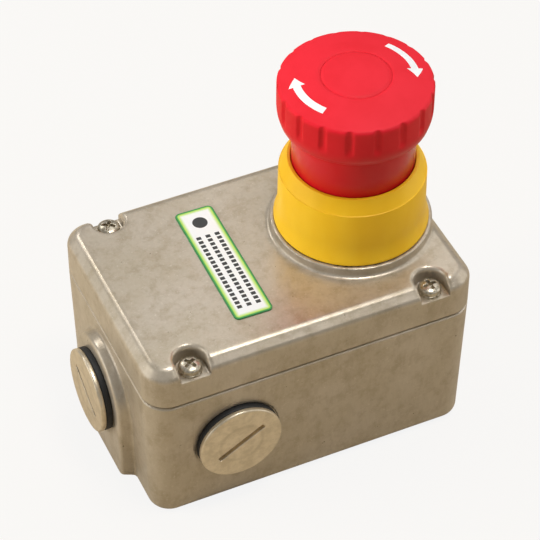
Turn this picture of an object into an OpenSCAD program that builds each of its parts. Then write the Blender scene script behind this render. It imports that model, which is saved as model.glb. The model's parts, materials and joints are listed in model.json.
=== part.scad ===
// Emergency stop station: a two-part cast stainless box with three plugged conduit
// entries, and a twist-to-release mushroom button with a yellow collar on its lid.
// The origin is the centre of the rear face, +Z runs up through the lid and +X
// runs towards the end that carries the button.

/* [Body casting] */
// Length of the body at the parting plane
body_l = 92.6; // [90:0.2:104]
// Width of the body at the parting plane
body_w = 62.3; // [61:0.1:72]
// Height of the body, from the rear face to the parting plane
body_h = 41.5; // [40:0.5:52]
// Inset of the body's foot on every side, for the mould's draft
body_draft = 1; // [0.4:0.1:1.4]
// Radius of the upright corners of both castings
corner_r = 7; // [6:0.25:8]
// Radius of the edge round the rear face
foot_r = 2.5; // [1.5:0.25:3.5]
// Wall thickness at the rim
wall = 3.6; // [3.4:0.1:4.2]
// Thickness of the floor
floor_t = 3.5; // [3:0.25:4.5]
// Chamfer on both castings where they meet
parting_chamfer = 0.4; // [0.2:0.1:0.6]
// Radius of the rounds along a casting's outer edges
edge_r = 0.9; // [0.5:0.1:1.2]

/* [Lid casting] */
// Height of the lid's upright skirt
skirt_h = 10; // [9:0.5:13]
// Height of the bevel between the skirt and the top
bevel_h = 2.5; // [2:0.1:3]
// Width of the bevel, seen from above
bevel_w = 2.7; // [2:0.1:3.2]
// Thickness of the lid's top
lid_t = 3; // [2.6:0.1:3.6]
// Radius of the round boss under the collar
boss_r = 21.4; // [21:0.1:22.5]
// Height of the round boss above the lid's top
boss_h = 2.4; // [1.6:0.1:3.2]
// Radius of the fillet at the boss's foot
boss_fillet = 2; // [1.4:0.1:2.2]

/* [Lid screws] */
// Distance from a lid screw to the end of the box
screw_from_end = 12.5; // [12:0.25:14.5]
// Distance from a lid screw to the long side of the box
screw_from_side = 3.8; // [3.4:0.1:4.2]
// Radius of a lid screw's shank
screw_r = 1.5; // [1.4:0.05:1.7]
// Radius of a lid screw's head
screw_head_r = 3; // [2.8:0.1:3.2]
// Height of a lid screw's head
screw_head_h = 2.2; // [1.8:0.1:2.4]
// Length of a lid screw's shank under its washer
screw_l = 14; // [13:0.5:15]
// Radius of a lid screw's washer
washer_r = 3.1; // [3:0.1:3.4]
// Thickness of a lid screw's washer
washer_t = 0.6; // [0.4:0.1:0.8]
// Radius of a screw pocket in the lid
pocket_r = 4.15; // [3.9:0.05:4.3]
// Depth of a pocket's floor below the top of the skirt
pocket_drop = 1.8; // [1.2:0.1:2.2]
// Width of the flare round a pocket's mouth
pocket_flare = 1; // [0.5:0.1:1.2]
// Metal between a pocket and the hollow of the lid
pocket_wall = 1.65; // [1.4:0.05:1.9]
// Depth of the body's lugs that take the lid screws
lug_h = 7.6; // [7:0.2:8]

/* [Lid seal] */
// Distance from the hollow's edge to the middle of the seal groove
groove_offset = 1.7; // [1.6:0.05:1.8]
// Width of the seal groove
groove_w = 1.4; // [1.2:0.1:1.6]
// Depth of the seal groove
groove_depth = 1.5; // [1.2:0.1:1.8]

/* [Conduit entries] */
// Height of the entries' centres above the rear face
entry_z = 23; // [22:0.25:24.5]
// Distance from the two side entries to the left end of the box
entry_from_end = 23.8; // [23.3:0.1:25.3]
// Radius of an M20 entry
entry_r = 10; // [9.8:0.1:10.2]
// Radius of the arched pad round the end entry
pad_r = 15; // [14:0.25:16]
// Thickness of the arched pad
pad_t = 3; // [2:0.25:4]
// Height of the pad's lower edge above the rear face
pad_z = 2.6; // [2:0.2:3.4]
// Radius of the thick ring inside a side entry
ring_r = 13; // [12.4:0.2:13.4]
// Thickness of that ring inside the wall
ring_t = 2.6; // [2:0.2:3.2]

/* [Stopping plugs] */
// Radius of a plug's head
plug_head_r = 11.5; // [11.2:0.1:12]
// Thickness of a plug's head
plug_head_t = 1.5; // [1.3:0.1:1.9]
// Length of a plug's threaded shank
plug_l = 9; // [8:0.25:9.5]
// Radius of the hollow in a plug's shank
plug_hollow_r = 7.6; // [6.5:0.1:8]
// Length of a plug's screwdriver slot
slot_l = 14.8; // [12:0.2:17]
// Width of a plug's screwdriver slot
slot_w = 1.4; // [1:0.1:1.8]
// Depth of a plug's screwdriver slot
slot_depth = 1.2; // [0.9:0.1:1.3]
// Thickness of a plug's rubber seal
plug_seal_t = 1.8; // [1.4:0.1:2.2]
// Angle of the front plug's slot
front_slot_angle = 31; // [0:1:90]
// Angle of the end plug's slot
left_slot_angle = 60; // [0:1:90]
// Angle of the back plug's slot
back_slot_angle = 20; // [0:1:90]

/* [Rear fixings] */
// Distance from a fixing hole to the end of the box, at the parting plane
fixing_from_end = 8.3; // [7.8:0.1:8.8]
// Distance from a fixing hole to the long side of the box, at the parting plane
fixing_from_side = 9.15; // [8.65:0.05:9.4]
// Radius of a tapped M5 fixing hole
fixing_r = 2.1; // [2:0.05:2.2]
// Depth of a fixing hole
fixing_depth = 8; // [7:0.25:8.25]
// Radius of the pillar round a fixing hole
pillar_r = 5; // [4.5:0.1:5.2]
// Metal above the end of a fixing hole
pillar_cap = 2; // [1.6:0.1:2.2]

/* [Button position] */
// Distance from the button's axis to the right end of the box
button_from_end = 21.6; // [21.3:0.1:22.1]
// Distance from the box's middle to the button's axis, across the box
button_y = 1; // [0:0.1:1.4]
// Travel of the button
travel = 5; // [4.5:0.1:5.4]

/* [Collar] */
// Thickness of the seal under the collar
collar_seal_t = 0.6; // [0.4:0.1:1]
// Radius of the seal under the collar
collar_seal_r = 19.9; // [19:0.1:20.2]
// Height of the collar
collar_h = 20.4; // [19.5:0.2:22]
// Radius of the collar's foot
collar_foot_r = 20.5; // [20.3:0.1:20.9]
// Height over which the collar's foot spreads
collar_foot_h = 6; // [4:0.25:7]
// Radius of the collar above its foot
collar_side_r = 19.5; // [19.3:0.1:19.8]
// Radius of the collar where its chamfer starts
collar_knee_r = 19.2; // [18.9:0.1:19.3]
// Height of the chamfer round the collar's mouth
collar_chamfer_h = 4; // [3:0.2:5]
// Width of the flat lip round the collar's mouth
collar_lip = 0.5; // [0.3:0.1:0.8]
// Thickness of the collar's floor
collar_floor_t = 4; // [3.5:0.25:5]

/* [Mushroom head] */
// Radius of the head
head_r = 20; // [19.5:0.1:20.4]
// Radius of the head's neck
neck_r = 16.1; // [15.8:0.05:16.4]
// Gap between the neck and the collar
neck_gap = 0.6; // [0.45:0.05:0.7]
// Length of neck that shows above the collar
neck_show = 10.6; // [9.5:0.1:12]
// Height of the head's hollowed underside, from the neck to the lip
under_h = 3; // [2.4:0.1:3.6]
// Height of the lip under the flutes
lip_h = 4.5; // [3.5:0.1:5]
// Amount by which the lip draws in towards its foot
lip_in = 0.7; // [0.65:0.05:0.9]
// Height of the head's fluted side
side_h = 6.1; // [5.5:0.1:7]
// Radius of the round at the head's rim
rim_r = 1; // [0.6:0.1:1.4]
// Radius of the sphere that the head's top follows
dome_r = 73; // [60:1:110]
// Wall thickness of the neck
neck_wall = 2.25; // [1.8:0.05:2.6]
// Number of flutes round the head
flute_count = 18; // [12:1:20]
// Radius of a flute
flute_r = 1.15; // [0.9:0.05:1.4]
// Depth of a flute
flute_depth = 0.5; // [0.3:0.05:0.6]
// Radius of the cap in the middle of the head
cap_r = 9; // [8:0.1:10]
// Thickness of that cap
cap_t = 2.6; // [2.2:0.1:3]
// Radius of the hub that holds the spindle
hub_r = 7; // [6.8:0.1:7.2]
// Number of ribs between the hub and the neck
rib_count = 6; // [4:1:8]
// Thickness of a rib
rib_t = 1.5; // [1.2:0.1:2]

/* [Push mechanism] */
// Radius of the barrel that passes through the lid
barrel_r = 11; // [10.8:0.1:11.2]
// Radius of the barrel's flange
flange_r = 14; // [13.5:0.1:14.3]
// Thickness of the barrel's flange
flange_t = 2.5; // [2:0.1:3]
// Thickness of the barrel's floor
barrel_floor_t = 2; // [1.5:0.1:2.5]
// Radius of the barrel's bore round the return spring
bore_r = 7.6; // [7.5:0.05:7.8]
// Radius of the track for the cam sleeve's lugs
track_r = 9.2; // [9.1:0.05:9.4]
// Radius of the spindle
spindle_r = 4; // [3.8:0.1:4.2]
// Radius of the spindle's end, below its shoulder
spindle_end_r = 3; // [2.8:0.1:3.2]
// Radius of the cam sleeve
sleeve_r = 7.3; // [7.1:0.05:7.4]
// Radius to the tip of the cam sleeve's lugs
lug_tip_r = 8.9; // [8.7:0.05:9]
// Height of a cam sleeve lug
cam_lug_h = 4; // [3:0.25:4.5]
// Number of cam sleeve lugs
cam_lug_count = 3; // [2:1:3]
// Length of the return spring at rest
spring_h = 10; // [9.5:0.25:11]
// Wire radius of the return spring
spring_wire_r = 0.5; // [0.4:0.05:0.55]
// Thickness of the wiper seal on the barrel
wiper_t = 1.4; // [1:0.1:1.8]
// Length of the push plate
plate_l = 27; // [26:0.5:29]
// Width of the push plate
plate_w = 9; // [8:0.5:11]
// Thickness of the push plate
plate_t = 3; // [2.5:0.1:3.5]
// Thickness of the washer under the lid
nut_washer_t = 0.8; // [0.6:0.1:1]
// Thickness of the barrel nut
nut_t = 5; // [4.5:0.25:5.5]
// Width of the barrel nut across its flats
nut_flats = 27; // [26:0.5:29]

/* [Contact blocks] */
// Gap between neighbouring blocks
block_gap = 0.4; // [0.3:0.1:0.8]
// Width of a block
block_w = 10; // [9.6:0.1:10.2]
// Length of a block
block_l = 40; // [39:0.5:42]
// Height of a block
block_h = 17; // [16.4:0.1:17.2]
// Wall thickness of a block
block_wall = 1.4; // [1.2:0.1:1.6]
// Radius of a plunger
plunger_r = 1.8; // [1.6:0.1:2]
// Thickness of the carrier's plate
carrier_t = 4; // [3.5:0.25:4.5]
// Thickness of the carrier's legs
leg_t = 4; // [3.5:0.25:4.5]
// Length of the pocket for a terminal
pocket_l = 6.7; // [6.5:0.1:7]
// Gap between a contact bridge and the end of its chamber
bridge_gap = 2; // [1.5:0.1:2.4]
// Thickness of the contact strips
strip_t = 0.8; // [0.6:0.1:1]
// Width of the contact strips
strip_w = 4; // [3.5:0.1:4.5]

/* [Label] */
// Width of the label
label_w = 10.6; // [9:0.2:12]
// Length of the label
label_l = 42.2; // [38:0.2:46]
// Distance of the label's middle from the box's middle
label_x = 12.4; // [11.5:0.1:14]
// Distance of the label's middle from the box's middle, across the box
label_y = 0.6; // [0:0.1:1.2]
// Angle by which the label sits askew
label_turn = 1; // [0:0.1:2]
// Radius of the label's corners
label_corner_r = 1.4; // [0.8:0.1:2]
// Thickness of the label
label_t = 0.3; // [0.2:0.05:0.4]

/* [Hidden] */
$fn = 48;

// Running clearance of a shaft, and the gap between pieces that only pass each other
run_fit = 0.05;
gap = 0.3;
// Overlap that joins the solids of one casting
weld = 0.5;
// Extra reach of a cutter past the face it opens
past = 1;

// Room left under the head at the end of its travel, and depth of its hub in the barrel
spare_travel = 1.5;
hub_depth = 1.5;
// Rise of the head's inner web above the foot of its side
web_rise = 1.5;
// Round along the foot of the head's lip
lip_round = 0.5;
// Width of the rounded groove round the head's cap
groove_edge = 0.35;
// Screw that holds the head on the spindle
head_screw_r = 2;
head_screw_head_r = 3.6;
head_screw_head_h = 2.4;
head_screw_l = 14;
head_screw_sink = 3;
// Length of barrel below the carrier
barrel_stub = 3.2;
// Inner face of the push plate's guides, and their size
guide_r = 8.6;
guide_h = 6;
guide_w = 2.6;
// Angles of the sleeve's lugs and of the barrel's ribs
cam_lug_angle = 26;
cam_rib_angle = 14;
cam_rib_turn = 42;
// Circlip on the spindle
clip_t = 0.8;
clip_w = 1.4;
clip_groove_depth = 0.6;
// Earth terminal on the floor
earth_x = -26;
earth_y = 0;
earth_post_r = 4;
earth_post_h = 6;
earth_thread_r = 2;
earth_clamp_t = 1;

// Step of the boss behind the skirt's end face, and the fillet at its foot
boss_step = edge_r / 2;
fillet_r = min(boss_fillet, boss_h - edge_r / 2);

// Levels of the castings
parting_z = body_h;
shoulder_z = parting_z + skirt_h;
lid_top_z = shoulder_z + bevel_h;
lid_under_z = lid_top_z - lid_t;
boss_top_z = lid_top_z + boss_h;
pocket_z = shoulder_z - pocket_drop;
screw_x = body_l / 2 - screw_from_end;
screw_y = body_w / 2 - screw_from_side;
fixing_x = body_l / 2 - fixing_from_end;
fixing_y = body_w / 2 - fixing_from_side;
button_x = body_l / 2 - button_from_end;
entry_x = body_l / 2 - entry_from_end;
hole_r = barrel_r + gap / 2;

// Levels above the lid
collar_z = boss_top_z + collar_seal_t;
collar_top_z = collar_z + collar_h;
flange_z = collar_z + collar_floor_t;
flange_top_z = flange_z + flange_t;
neck_z = flange_top_z + travel + spare_travel;
hub_z = flange_top_z - hub_depth;
under_z = collar_top_z + neck_show;
lip_z = under_z + under_h;
side_z = lip_z + lip_h;
rim_z = side_z + side_h;
crown_z = rim_z + rim_r;
web_z = side_z + web_rise;
top_z = dome_z(0);
cap_z = top_z - cap_t;
head_screw_seat_z = cap_z - head_screw_sink;
collar_bore_r = neck_r + neck_gap;

// Levels below the lid
nut_z = lid_under_z - nut_washer_t - nut_t;
barrel_end_z = nut_z - carrier_t - barrel_stub;
spring_z = barrel_end_z + barrel_floor_t;
sleeve_z = spring_z + spring_h;
cam_lug_z = sleeve_z + travel;
track_z = cam_lug_z - travel - gap;
plate_top_z = barrel_end_z - gap;
plate_z = plate_top_z - plate_t;
clip_z = plate_z - run_fit - clip_t;
spindle_end_z = clip_z - gap - clip_t;
block_top_z = spindle_end_z - gap - travel;

// Levels inside a contact block, below its top
block_roof = 3;
bridge_drop = 6.4;
bridge_t = 0.6;
tip_t = 0.6;
tip_r = 1.2;
plunger_foot_drop = 8.2;
block_floor_drop = block_h - 1.6;
terminal_drop = 8.6;
block_pitch = block_w + block_gap;
chamber_l = block_l - 2 * (pocket_l + 2 * block_wall);
bridge_l = chamber_l - 2 * bridge_gap;
clamp_t = 1;
clamp_l = 4;
terminal_screw_r = 1.25;
terminal_screw_l = 4;
terminal_tail = 2.2;
bridge_w = 4;
waist_w = 1.8;
hook_h = 4;
hook_root_h = 5;
wire_slot_w = 3.6;
plunger_foot_t = 1;
plunger_foot_w = 0.8;
plunger_wire_r = 0.22;
plunger_spring_turns = 4;
pocket_in = chamber_l / 2 + block_wall;
pocket_out = block_l / 2 - block_wall;
terminal_y = (pocket_in + pocket_out + strip_t) / 2;
// Drop of the fixed strips: over the bridge when the contact opens on pressing, and a
// full travel under it when the contact closes
nc_strip_drop = bridge_drop - 2 * tip_t - strip_t - run_fit;
no_strip_drop = bridge_drop + bridge_t + 2 * tip_t + travel + run_fit;

// Spot face of a side entry: level with the drafted wall at the plug's lower edge
spot_r = plug_head_r + gap;
spot_y = body_w / 2 - body_draft + wall_out(entry_z - spot_r);

// Draws one item at every lid screw
module at_lid_screws() {
    for (sx = [-1, 1], sy = [-1, 1])
        translate([sx * screw_x, sy * screw_y, 0])
            children();
}

// Moves its children to the button's axis
module at_button() {
    translate([button_x, button_y, 0])
        children();
}

// Moves an entry's fittings to the left end, facing outwards along their +Z
module at_left_entry() {
    translate([-body_l / 2 - pad_t, 0, entry_z])
        rotate([0, -90, 0])
            children();
}

// Outset of the drafted wall at a height, from the foot's outline
function wall_out(z) = body_draft * z / body_h;

// Moves an entry's fittings to the front (-1) or back (+1), facing outwards along their +Z
module at_side_entry(side) {
    translate([-entry_x, side * spot_y, entry_z])
        rotate([-side * 90, 0, 0])
            children();
}

// Points of an arc about c, from angle a to angle b
function arc(c, r, a, b, steps = 6) =
    [for (i = [0:steps]) c + r * [cos(a + (b - a) * i / steps), sin(a + (b - a) * i / steps)]];

// Point on a quadratic curve with ends p and r, pulled towards q
function curve(p, q, r, t) = (1 - t) * (1 - t) * p + 2 * t * (1 - t) * q + t * t * r;

// Height of the head's domed top at a distance from its axis
function dome_z(r) =
    crown_z + sqrt(dome_r * dome_r - r * r) - sqrt(pow(dome_r, 2) - pow(head_r - rim_r, 2));

// Rectangle with rounded corners
module rounded_rect(l, w, r) {
    offset(r = r)
        square([l - 2 * r, w - 2 * r], center = true);
}

// Solid whose four corner columns are turned from one profile
module cornered_block(profile) {
    hull()
        for (sx = [-1, 1], sy = [-1, 1])
            translate([sx * (body_l / 2 - corner_r), sy * (body_w / 2 - corner_r), 0])
                rotate_extrude()
                    polygon(profile);
}

// Outline of the hollow at the rim: it steps inwards round the lid screws
module hollow_outline(grow = 0) {
    offset(r = grow)
        difference() {
            rounded_rect(body_l - 2 * wall, body_w - 2 * wall, corner_r - wall);
            at_lid_screws()
                circle(pocket_r + pocket_wall);
        }
}

// Ring of the seal groove, or of the gasket in it
module seal_ring(width) {
    difference() {
        hollow_outline(groove_offset + width / 2);
        hollow_outline(groove_offset - width / 2);
    }
}

// Outline of the arched pad: round over the entry, straight down to the foot
module arch(r) {
    hull() {
        circle(r);
        translate([-(entry_z - pad_z) + r / 2, 0])
            square([r, 2 * r + 1], center = true);
    }
}

// Arched pad on the left end, with sloping flanks and a rounded edge
module left_pad() {
    at_left_entry()
        hull() {
            translate([0, 0, -pad_t - body_draft])
                linear_extrude(weld)
                    arch(pad_r + edge_r);
            translate([0, 0, -edge_r])
                linear_extrude(edge_r / 2)
                    arch(pad_r);
            translate([0, 0, -edge_r / 2])
                linear_extrude(edge_r / 2)
                    arch(pad_r - edge_r / 2);
        }
}

module enclosure_body() {
    foot = corner_r - body_draft;
    profile = concat(
        [[0, 0]],
        arc([foot - foot_r, foot_r], foot_r, -90, 0),
        [[corner_r, parting_z - parting_chamfer], [corner_r - parting_chamfer, parting_z], [0, parting_z]]
    );
    color("silver")
        difference() {
            union() {
                difference() {
                    union() {
                        cornered_block(profile);
                        left_pad();
                    }
                    body_hollow();
                }
                body_inner_metal();
            }
            translate([0, 0, parting_z - groove_depth])
                linear_extrude(groove_depth + past)
                    seal_ring(groove_w);
            at_left_entry()
                translate([0, 0, -pad_t - 2 * wall])
                    cylinder(h = pad_t + 2 * wall + past, r = entry_r);
            for (side = [-1, 1])
                at_side_entry(side) {
                    cylinder(h = body_draft + past, r = spot_r);
                    translate([0, 0, -wall - ring_t - past])
                        cylinder(h = wall + ring_t + 2 * past, r = entry_r);
                }
            at_lid_screws()
                translate([0, 0, parting_z - lug_h - past])
                    cylinder(h = lug_h + 2 * past, r = screw_r + run_fit);
            for (sx = [-1, 1], sy = [-1, 1])
                translate([sx * fixing_x, sy * fixing_y, -past])
                    cylinder(h = fixing_depth + past, r = fixing_r);
            translate([earth_x, earth_y, floor_t])
                cylinder(h = earth_post_h + past, r = earth_thread_r + run_fit);
        }
}

// Hollow of the body: plain below the lugs, notched round the lid screws above them
module body_hollow() {
    lug_z = parting_z - lug_h;
    translate([0, 0, floor_t])
        linear_extrude(lug_z - floor_t + weld / 5)
            rounded_rect(body_l - 2 * wall, body_w - 2 * wall, corner_r - wall);
    translate([0, 0, lug_z])
        linear_extrude(lug_h + past)
            hollow_outline();
}

// Rings inside the side entries, pillars over the fixing holes and the earth post
module body_inner_metal() {
    for (side = [-1, 1])
        at_side_entry(side)
            translate([0, 0, -wall - ring_t])
                cylinder(h = wall + ring_t - body_draft, r = ring_r);
    for (sx = [-1, 1], sy = [-1, 1])
        translate([sx * fixing_x, sy * fixing_y, floor_t - weld])
            cylinder(h = fixing_depth + pillar_cap - floor_t + weld, r = pillar_r);
    translate([earth_x, earth_y, floor_t - weld])
        cylinder(h = earth_post_h + weld, r = earth_post_r);
}

module enclosure_lid() {
    inset = corner_r - bevel_w;
    profile = concat(
        [[0, parting_z], [corner_r - parting_chamfer, parting_z], [corner_r, parting_z + parting_chamfer]],
        [[corner_r, shoulder_z - edge_r / 2], [corner_r - edge_r / 3, shoulder_z + edge_r / 3]],
        [[inset + edge_r / 2, lid_top_z - edge_r / 2], [inset, lid_top_z - edge_r / 8]],
        [[inset - edge_r / 2, lid_top_z], [0, lid_top_z]]
    );
    color("silver")
        difference() {
            union() {
                cornered_block(profile);
                intersection() {
                    at_button()
                        lid_boss();
                    translate([0, 0, shoulder_z])
                        linear_extrude(boss_top_z - shoulder_z + past)
                            rounded_rect(body_l - boss_step, body_w - boss_step, corner_r - boss_step / 2);
                }
            }
            translate([0, 0, parting_z - past])
                linear_extrude(lid_under_z - parting_z + past)
                    hollow_outline();
            at_button()
                translate([0, 0, lid_under_z - past])
                    cylinder(h = lid_t + boss_h + 2 * past, r = hole_r);
            for (sx = [-1, 1], sy = [-1, 1])
                translate([sx * screw_x, sy * screw_y, 0])
                    rotate([0, 0, sy < 0 ? 180 : 0])
                        screw_pocket();
        }
}

// Round boss with a fillet at its foot, carried down past the bevel
module lid_boss() {
    foot_r = boss_r + fillet_r;
    rotate_extrude()
        polygon(concat(
            [[0, shoulder_z - past], [boss_r, shoulder_z - past], [boss_r, lid_top_z - weld]],
            [[foot_r, lid_top_z - weld]],
            arc([foot_r, lid_top_z + fillet_r], fillet_r, -90, -180),
            [[boss_r, boss_top_z - edge_r / 3], [boss_r - edge_r / 3, boss_top_z], [0, boss_top_z]]
        ));
}

// Cutter for one lid screw: clearance hole and a pocket that opens outwards along +Y
module screw_pocket() {
    reach = screw_from_side + past;
    mouth_z = lid_top_z - pocket_flare;
    rise = past / 2;
    flare_top = pocket_r + pocket_flare + rise;
    translate([0, 0, parting_z - past])
        cylinder(h = skirt_h + past, r = screw_r + 2 * run_fit);
    translate([0, 0, pocket_z])
        cylinder(h = lid_top_z - pocket_z + past, r = pocket_r);
    translate([0, 0, mouth_z])
        cylinder(h = pocket_flare + rise, r1 = pocket_r, r2 = flare_top);
    rotate([-90, 0, 0])
        linear_extrude(reach)
            polygon([
                [-pocket_r, -pocket_z], [pocket_r, -pocket_z], [pocket_r, -mouth_z],
                [flare_top, -lid_top_z - rise], [-flare_top, -lid_top_z - rise], [-pocket_r, -mouth_z]
            ]);
}

module lid_gasket() {
    color("dimgray")
        translate([0, 0, parting_z - groove_depth])
            linear_extrude(groove_depth)
                seal_ring(groove_w - 2 * run_fit);
}

// Pan-headed screw with a cross recess, standing on z = 0 with its shank below
module pan_screw(shank_r, shank_l, head_r, head_h) {
    recess_w = head_r * 0.3;
    difference() {
        union() {
            rotate_extrude()
                polygon(concat(
                    [[0, 0], [head_r, 0], [head_r, head_h * 0.45]],
                    [for (a = [15:15:75]) [head_r * cos(a), head_h * (0.45 + 0.55 * sin(a))]],
                    [[0, head_h]]
                ));
            translate([0, 0, -shank_l])
                cylinder(h = shank_l + head_h / 4, r = shank_r);
        }
        for (a = [0, 90])
            rotate([0, 0, a + 20])
                translate([-head_r * 0.6, -recess_w / 2, head_h * 0.4])
                    cube([head_r * 1.2, recess_w, head_h]);
    }
}

module lid_screws() {
    color("gainsboro")
        at_lid_screws()
            translate([0, 0, pocket_z + washer_t])
                pan_screw(screw_r, screw_l, screw_head_r, screw_head_h);
}

module lid_screw_washers() {
    color("lightgray")
        at_lid_screws()
            translate([0, 0, pocket_z])
                difference() {
                    cylinder(h = washer_t, r = washer_r);
                    translate([0, 0, -past])
                        cylinder(h = washer_t + 2 * past, r = screw_r + run_fit);
                }
}

// Threaded stopping plug: its head stands on z = 0 over its seal, its shank goes below
module stopping_plug(slot_angle) {
    head_z = plug_seal_t;
    chamfer = 0.5;
    difference() {
        union() {
            rotate_extrude()
                polygon([
                    [0, head_z], [plug_head_r, head_z], [plug_head_r, head_z + plug_head_t - chamfer],
                    [plug_head_r - chamfer, head_z + plug_head_t], [0, head_z + plug_head_t]
                ]);
            translate([0, 0, -plug_l])
                cylinder(h = plug_l + head_z + weld, r = entry_r - run_fit);
        }
        translate([0, 0, -plug_l - past])
            cylinder(h = plug_l + past, r = plug_hollow_r);
        rotate([0, 0, slot_angle])
            translate([0, 0, head_z + plug_head_t - slot_depth])
                linear_extrude(slot_depth + past)
                    square([slot_l, slot_w], center = true);
    }
}

// Rubber ring under a plug's head
module plug_seal() {
    difference() {
        cylinder(h = plug_seal_t, r = plug_head_r - run_fit);
        translate([0, 0, -past])
            cylinder(h = plug_seal_t + 2 * past, r = entry_r);
    }
}

module left_entry_plug() {
    color("silver")
        at_left_entry()
            stopping_plug(left_slot_angle);
}

module front_entry_plug() {
    color("silver")
        at_side_entry(-1)
            stopping_plug(front_slot_angle);
}

module back_entry_plug() {
    color("silver")
        at_side_entry(1)
            stopping_plug(back_slot_angle);
}

module left_plug_seal() {
    color("black")
        at_left_entry()
            plug_seal();
}

module front_plug_seal() {
    color("black")
        at_side_entry(-1)
            plug_seal();
}

module back_plug_seal() {
    color("black")
        at_side_entry(1)
            plug_seal();
}

module earth_screw() {
    color("gold")
        translate([earth_x, earth_y, floor_t + earth_post_h + earth_clamp_t])
            pan_screw(earth_thread_r, earth_post_h, 1.9 * earth_thread_r, 1.3 * earth_thread_r);
}

module earth_clamp() {
    color("gold")
        translate([earth_x, earth_y, floor_t + earth_post_h])
            linear_extrude(earth_clamp_t)
                difference() {
                    square(2 * earth_post_r, center = true);
                    circle(earth_thread_r + run_fit);
                }
}

module lid_label() {
    color("white")
        translate([-label_x, label_y, lid_top_z])
            rotate([0, 0, -label_turn])
                linear_extrude(label_t)
                    rounded_rect(label_w, label_l, label_corner_r);
}

module yellow_collar() {
    knee_z = collar_top_z - collar_chamfer_h;
    color("gold")
        at_button()
            rotate_extrude()
                polygon(concat(
                    [[hole_r, collar_z], [collar_foot_r, collar_z]],
                    [for (t = [0:0.25:1]) curve(
                        [collar_foot_r, collar_z + weld], [collar_side_r, collar_z + collar_foot_h / 2],
                        [collar_side_r, collar_z + collar_foot_h], t)],
                    [[collar_knee_r, knee_z], [collar_bore_r + collar_lip, collar_top_z]],
                    [[collar_bore_r, collar_top_z], [collar_bore_r, flange_z], [hole_r, flange_z]]
                ));
}

module collar_seal() {
    color("black")
        at_button()
            translate([0, 0, boss_top_z])
                difference() {
                    cylinder(h = collar_seal_t, r = collar_seal_r);
                    translate([0, 0, -past])
                        cylinder(h = collar_seal_t + 2 * past, r = hole_r);
                }
}

// Outer form of the head: neck, hollowed underside, lip, side, rounded rim and domed top
function head_profile() = let (lip_r = head_r - lip_in) concat(
    [[0, web_z], [neck_r - neck_wall, web_z], [neck_r - neck_wall, neck_z], [neck_r, neck_z]],
    [for (t = [0:0.25:1]) curve([neck_r, under_z], [neck_r, lip_z], [lip_r - lip_round, lip_z], t)],
    [for (t = [0:0.25:1]) curve([lip_r, lip_z + lip_round], [head_r, lip_z + lip_h / 2], [head_r, side_z], t)],
    arc([head_r - rim_r, rim_z], rim_r, 0, 75, 5),
    [for (r = [head_r - rim_r:-3:4]) [r, dome_z(r)]],
    [[0, top_z]]
);

module mushroom_head() {
    hollow_r = neck_r - neck_wall;
    color("crimson")
        at_button()
            difference() {
                union() {
                    rotate_extrude($fn = 96)
                        polygon(head_profile());
                    translate([0, 0, hub_z])
                        cylinder(h = web_z - hub_z + weld, r = hub_r);
                    for (i = [0:rib_count - 1])
                        rotate([0, 0, 360 * i / rib_count])
                            translate([hub_r - weld, -rib_t / 2, under_z])
                                cube([hollow_r - hub_r + 2 * weld, rib_t, web_z - under_z + weld]);
                }
                translate([0, 0, hub_z - past])
                    cylinder(h = web_z - hub_z + past, r = spindle_r);
                translate([0, 0, web_z - past])
                    cylinder(h = top_z - web_z, r = head_screw_r + run_fit);
                translate([0, 0, head_screw_seat_z])
                    cylinder(h = top_z - head_screw_seat_z, r = head_screw_head_r + gap);
                rotate_extrude()
                    polygon([
                        [0, cap_z], [cap_r + run_fit, cap_z], [cap_r + run_fit, top_z - 3 * groove_edge],
                        [cap_r + 2 * groove_edge, top_z + past / 5], [0, top_z + past / 5]
                    ]);
                for (i = [0:flute_count - 1])
                    rotate([0, 0, 360 * i / flute_count])
                        translate([head_r + flute_r - flute_depth, 0, lip_z])
                            cylinder(h = lip_h + side_h - gap, r = flute_r, $fn = 24);
            }
}

module head_cap() {
    color("crimson")
        at_button()
            rotate_extrude()
                polygon(concat(
                    [[0, cap_z], [cap_r, cap_z], [cap_r, dome_z(cap_r) - groove_edge]],
                    [for (r = [cap_r - groove_edge:-2:2]) [r, dome_z(r)]],
                    [[0, top_z]]
                ));
}

module head_screw() {
    color("gainsboro")
        at_button()
            translate([0, 0, head_screw_seat_z])
                pan_screw(head_screw_r, head_screw_l, head_screw_head_r, head_screw_head_h);
}

module spindle() {
    clip_groove_r = spindle_end_r - clip_groove_depth;
    color("lightgray")
        at_button()
            difference() {
                rotate_extrude()
                    polygon([
                        [0, spindle_end_z], [spindle_end_r, spindle_end_z],
                        [spindle_end_r, clip_z - run_fit], [clip_groove_r, clip_z - run_fit],
                        [clip_groove_r, clip_z + clip_t + run_fit], [spindle_end_r, clip_z + clip_t + run_fit],
                        [spindle_end_r, plate_top_z + run_fit], [spindle_r, plate_top_z + run_fit],
                        [spindle_r, web_z], [0, web_z]
                    ]);
                translate([0, 0, head_screw_seat_z - head_screw_l - past])
                    cylinder(h = head_screw_l + past, r = head_screw_r + run_fit);
            }
}

// Circlip under the push plate
module spindle_circlip() {
    inner_r = spindle_end_r - clip_groove_depth + run_fit;
    color("dimgray")
        at_button()
            translate([0, 0, clip_z])
                linear_extrude(clip_t)
                    difference() {
                        circle(spindle_end_r + clip_w);
                        circle(inner_r);
                        translate([0, -spindle_end_r * 0.4])
                            square([2 * spindle_end_r, spindle_end_r * 0.8]);
                    }
}

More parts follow.
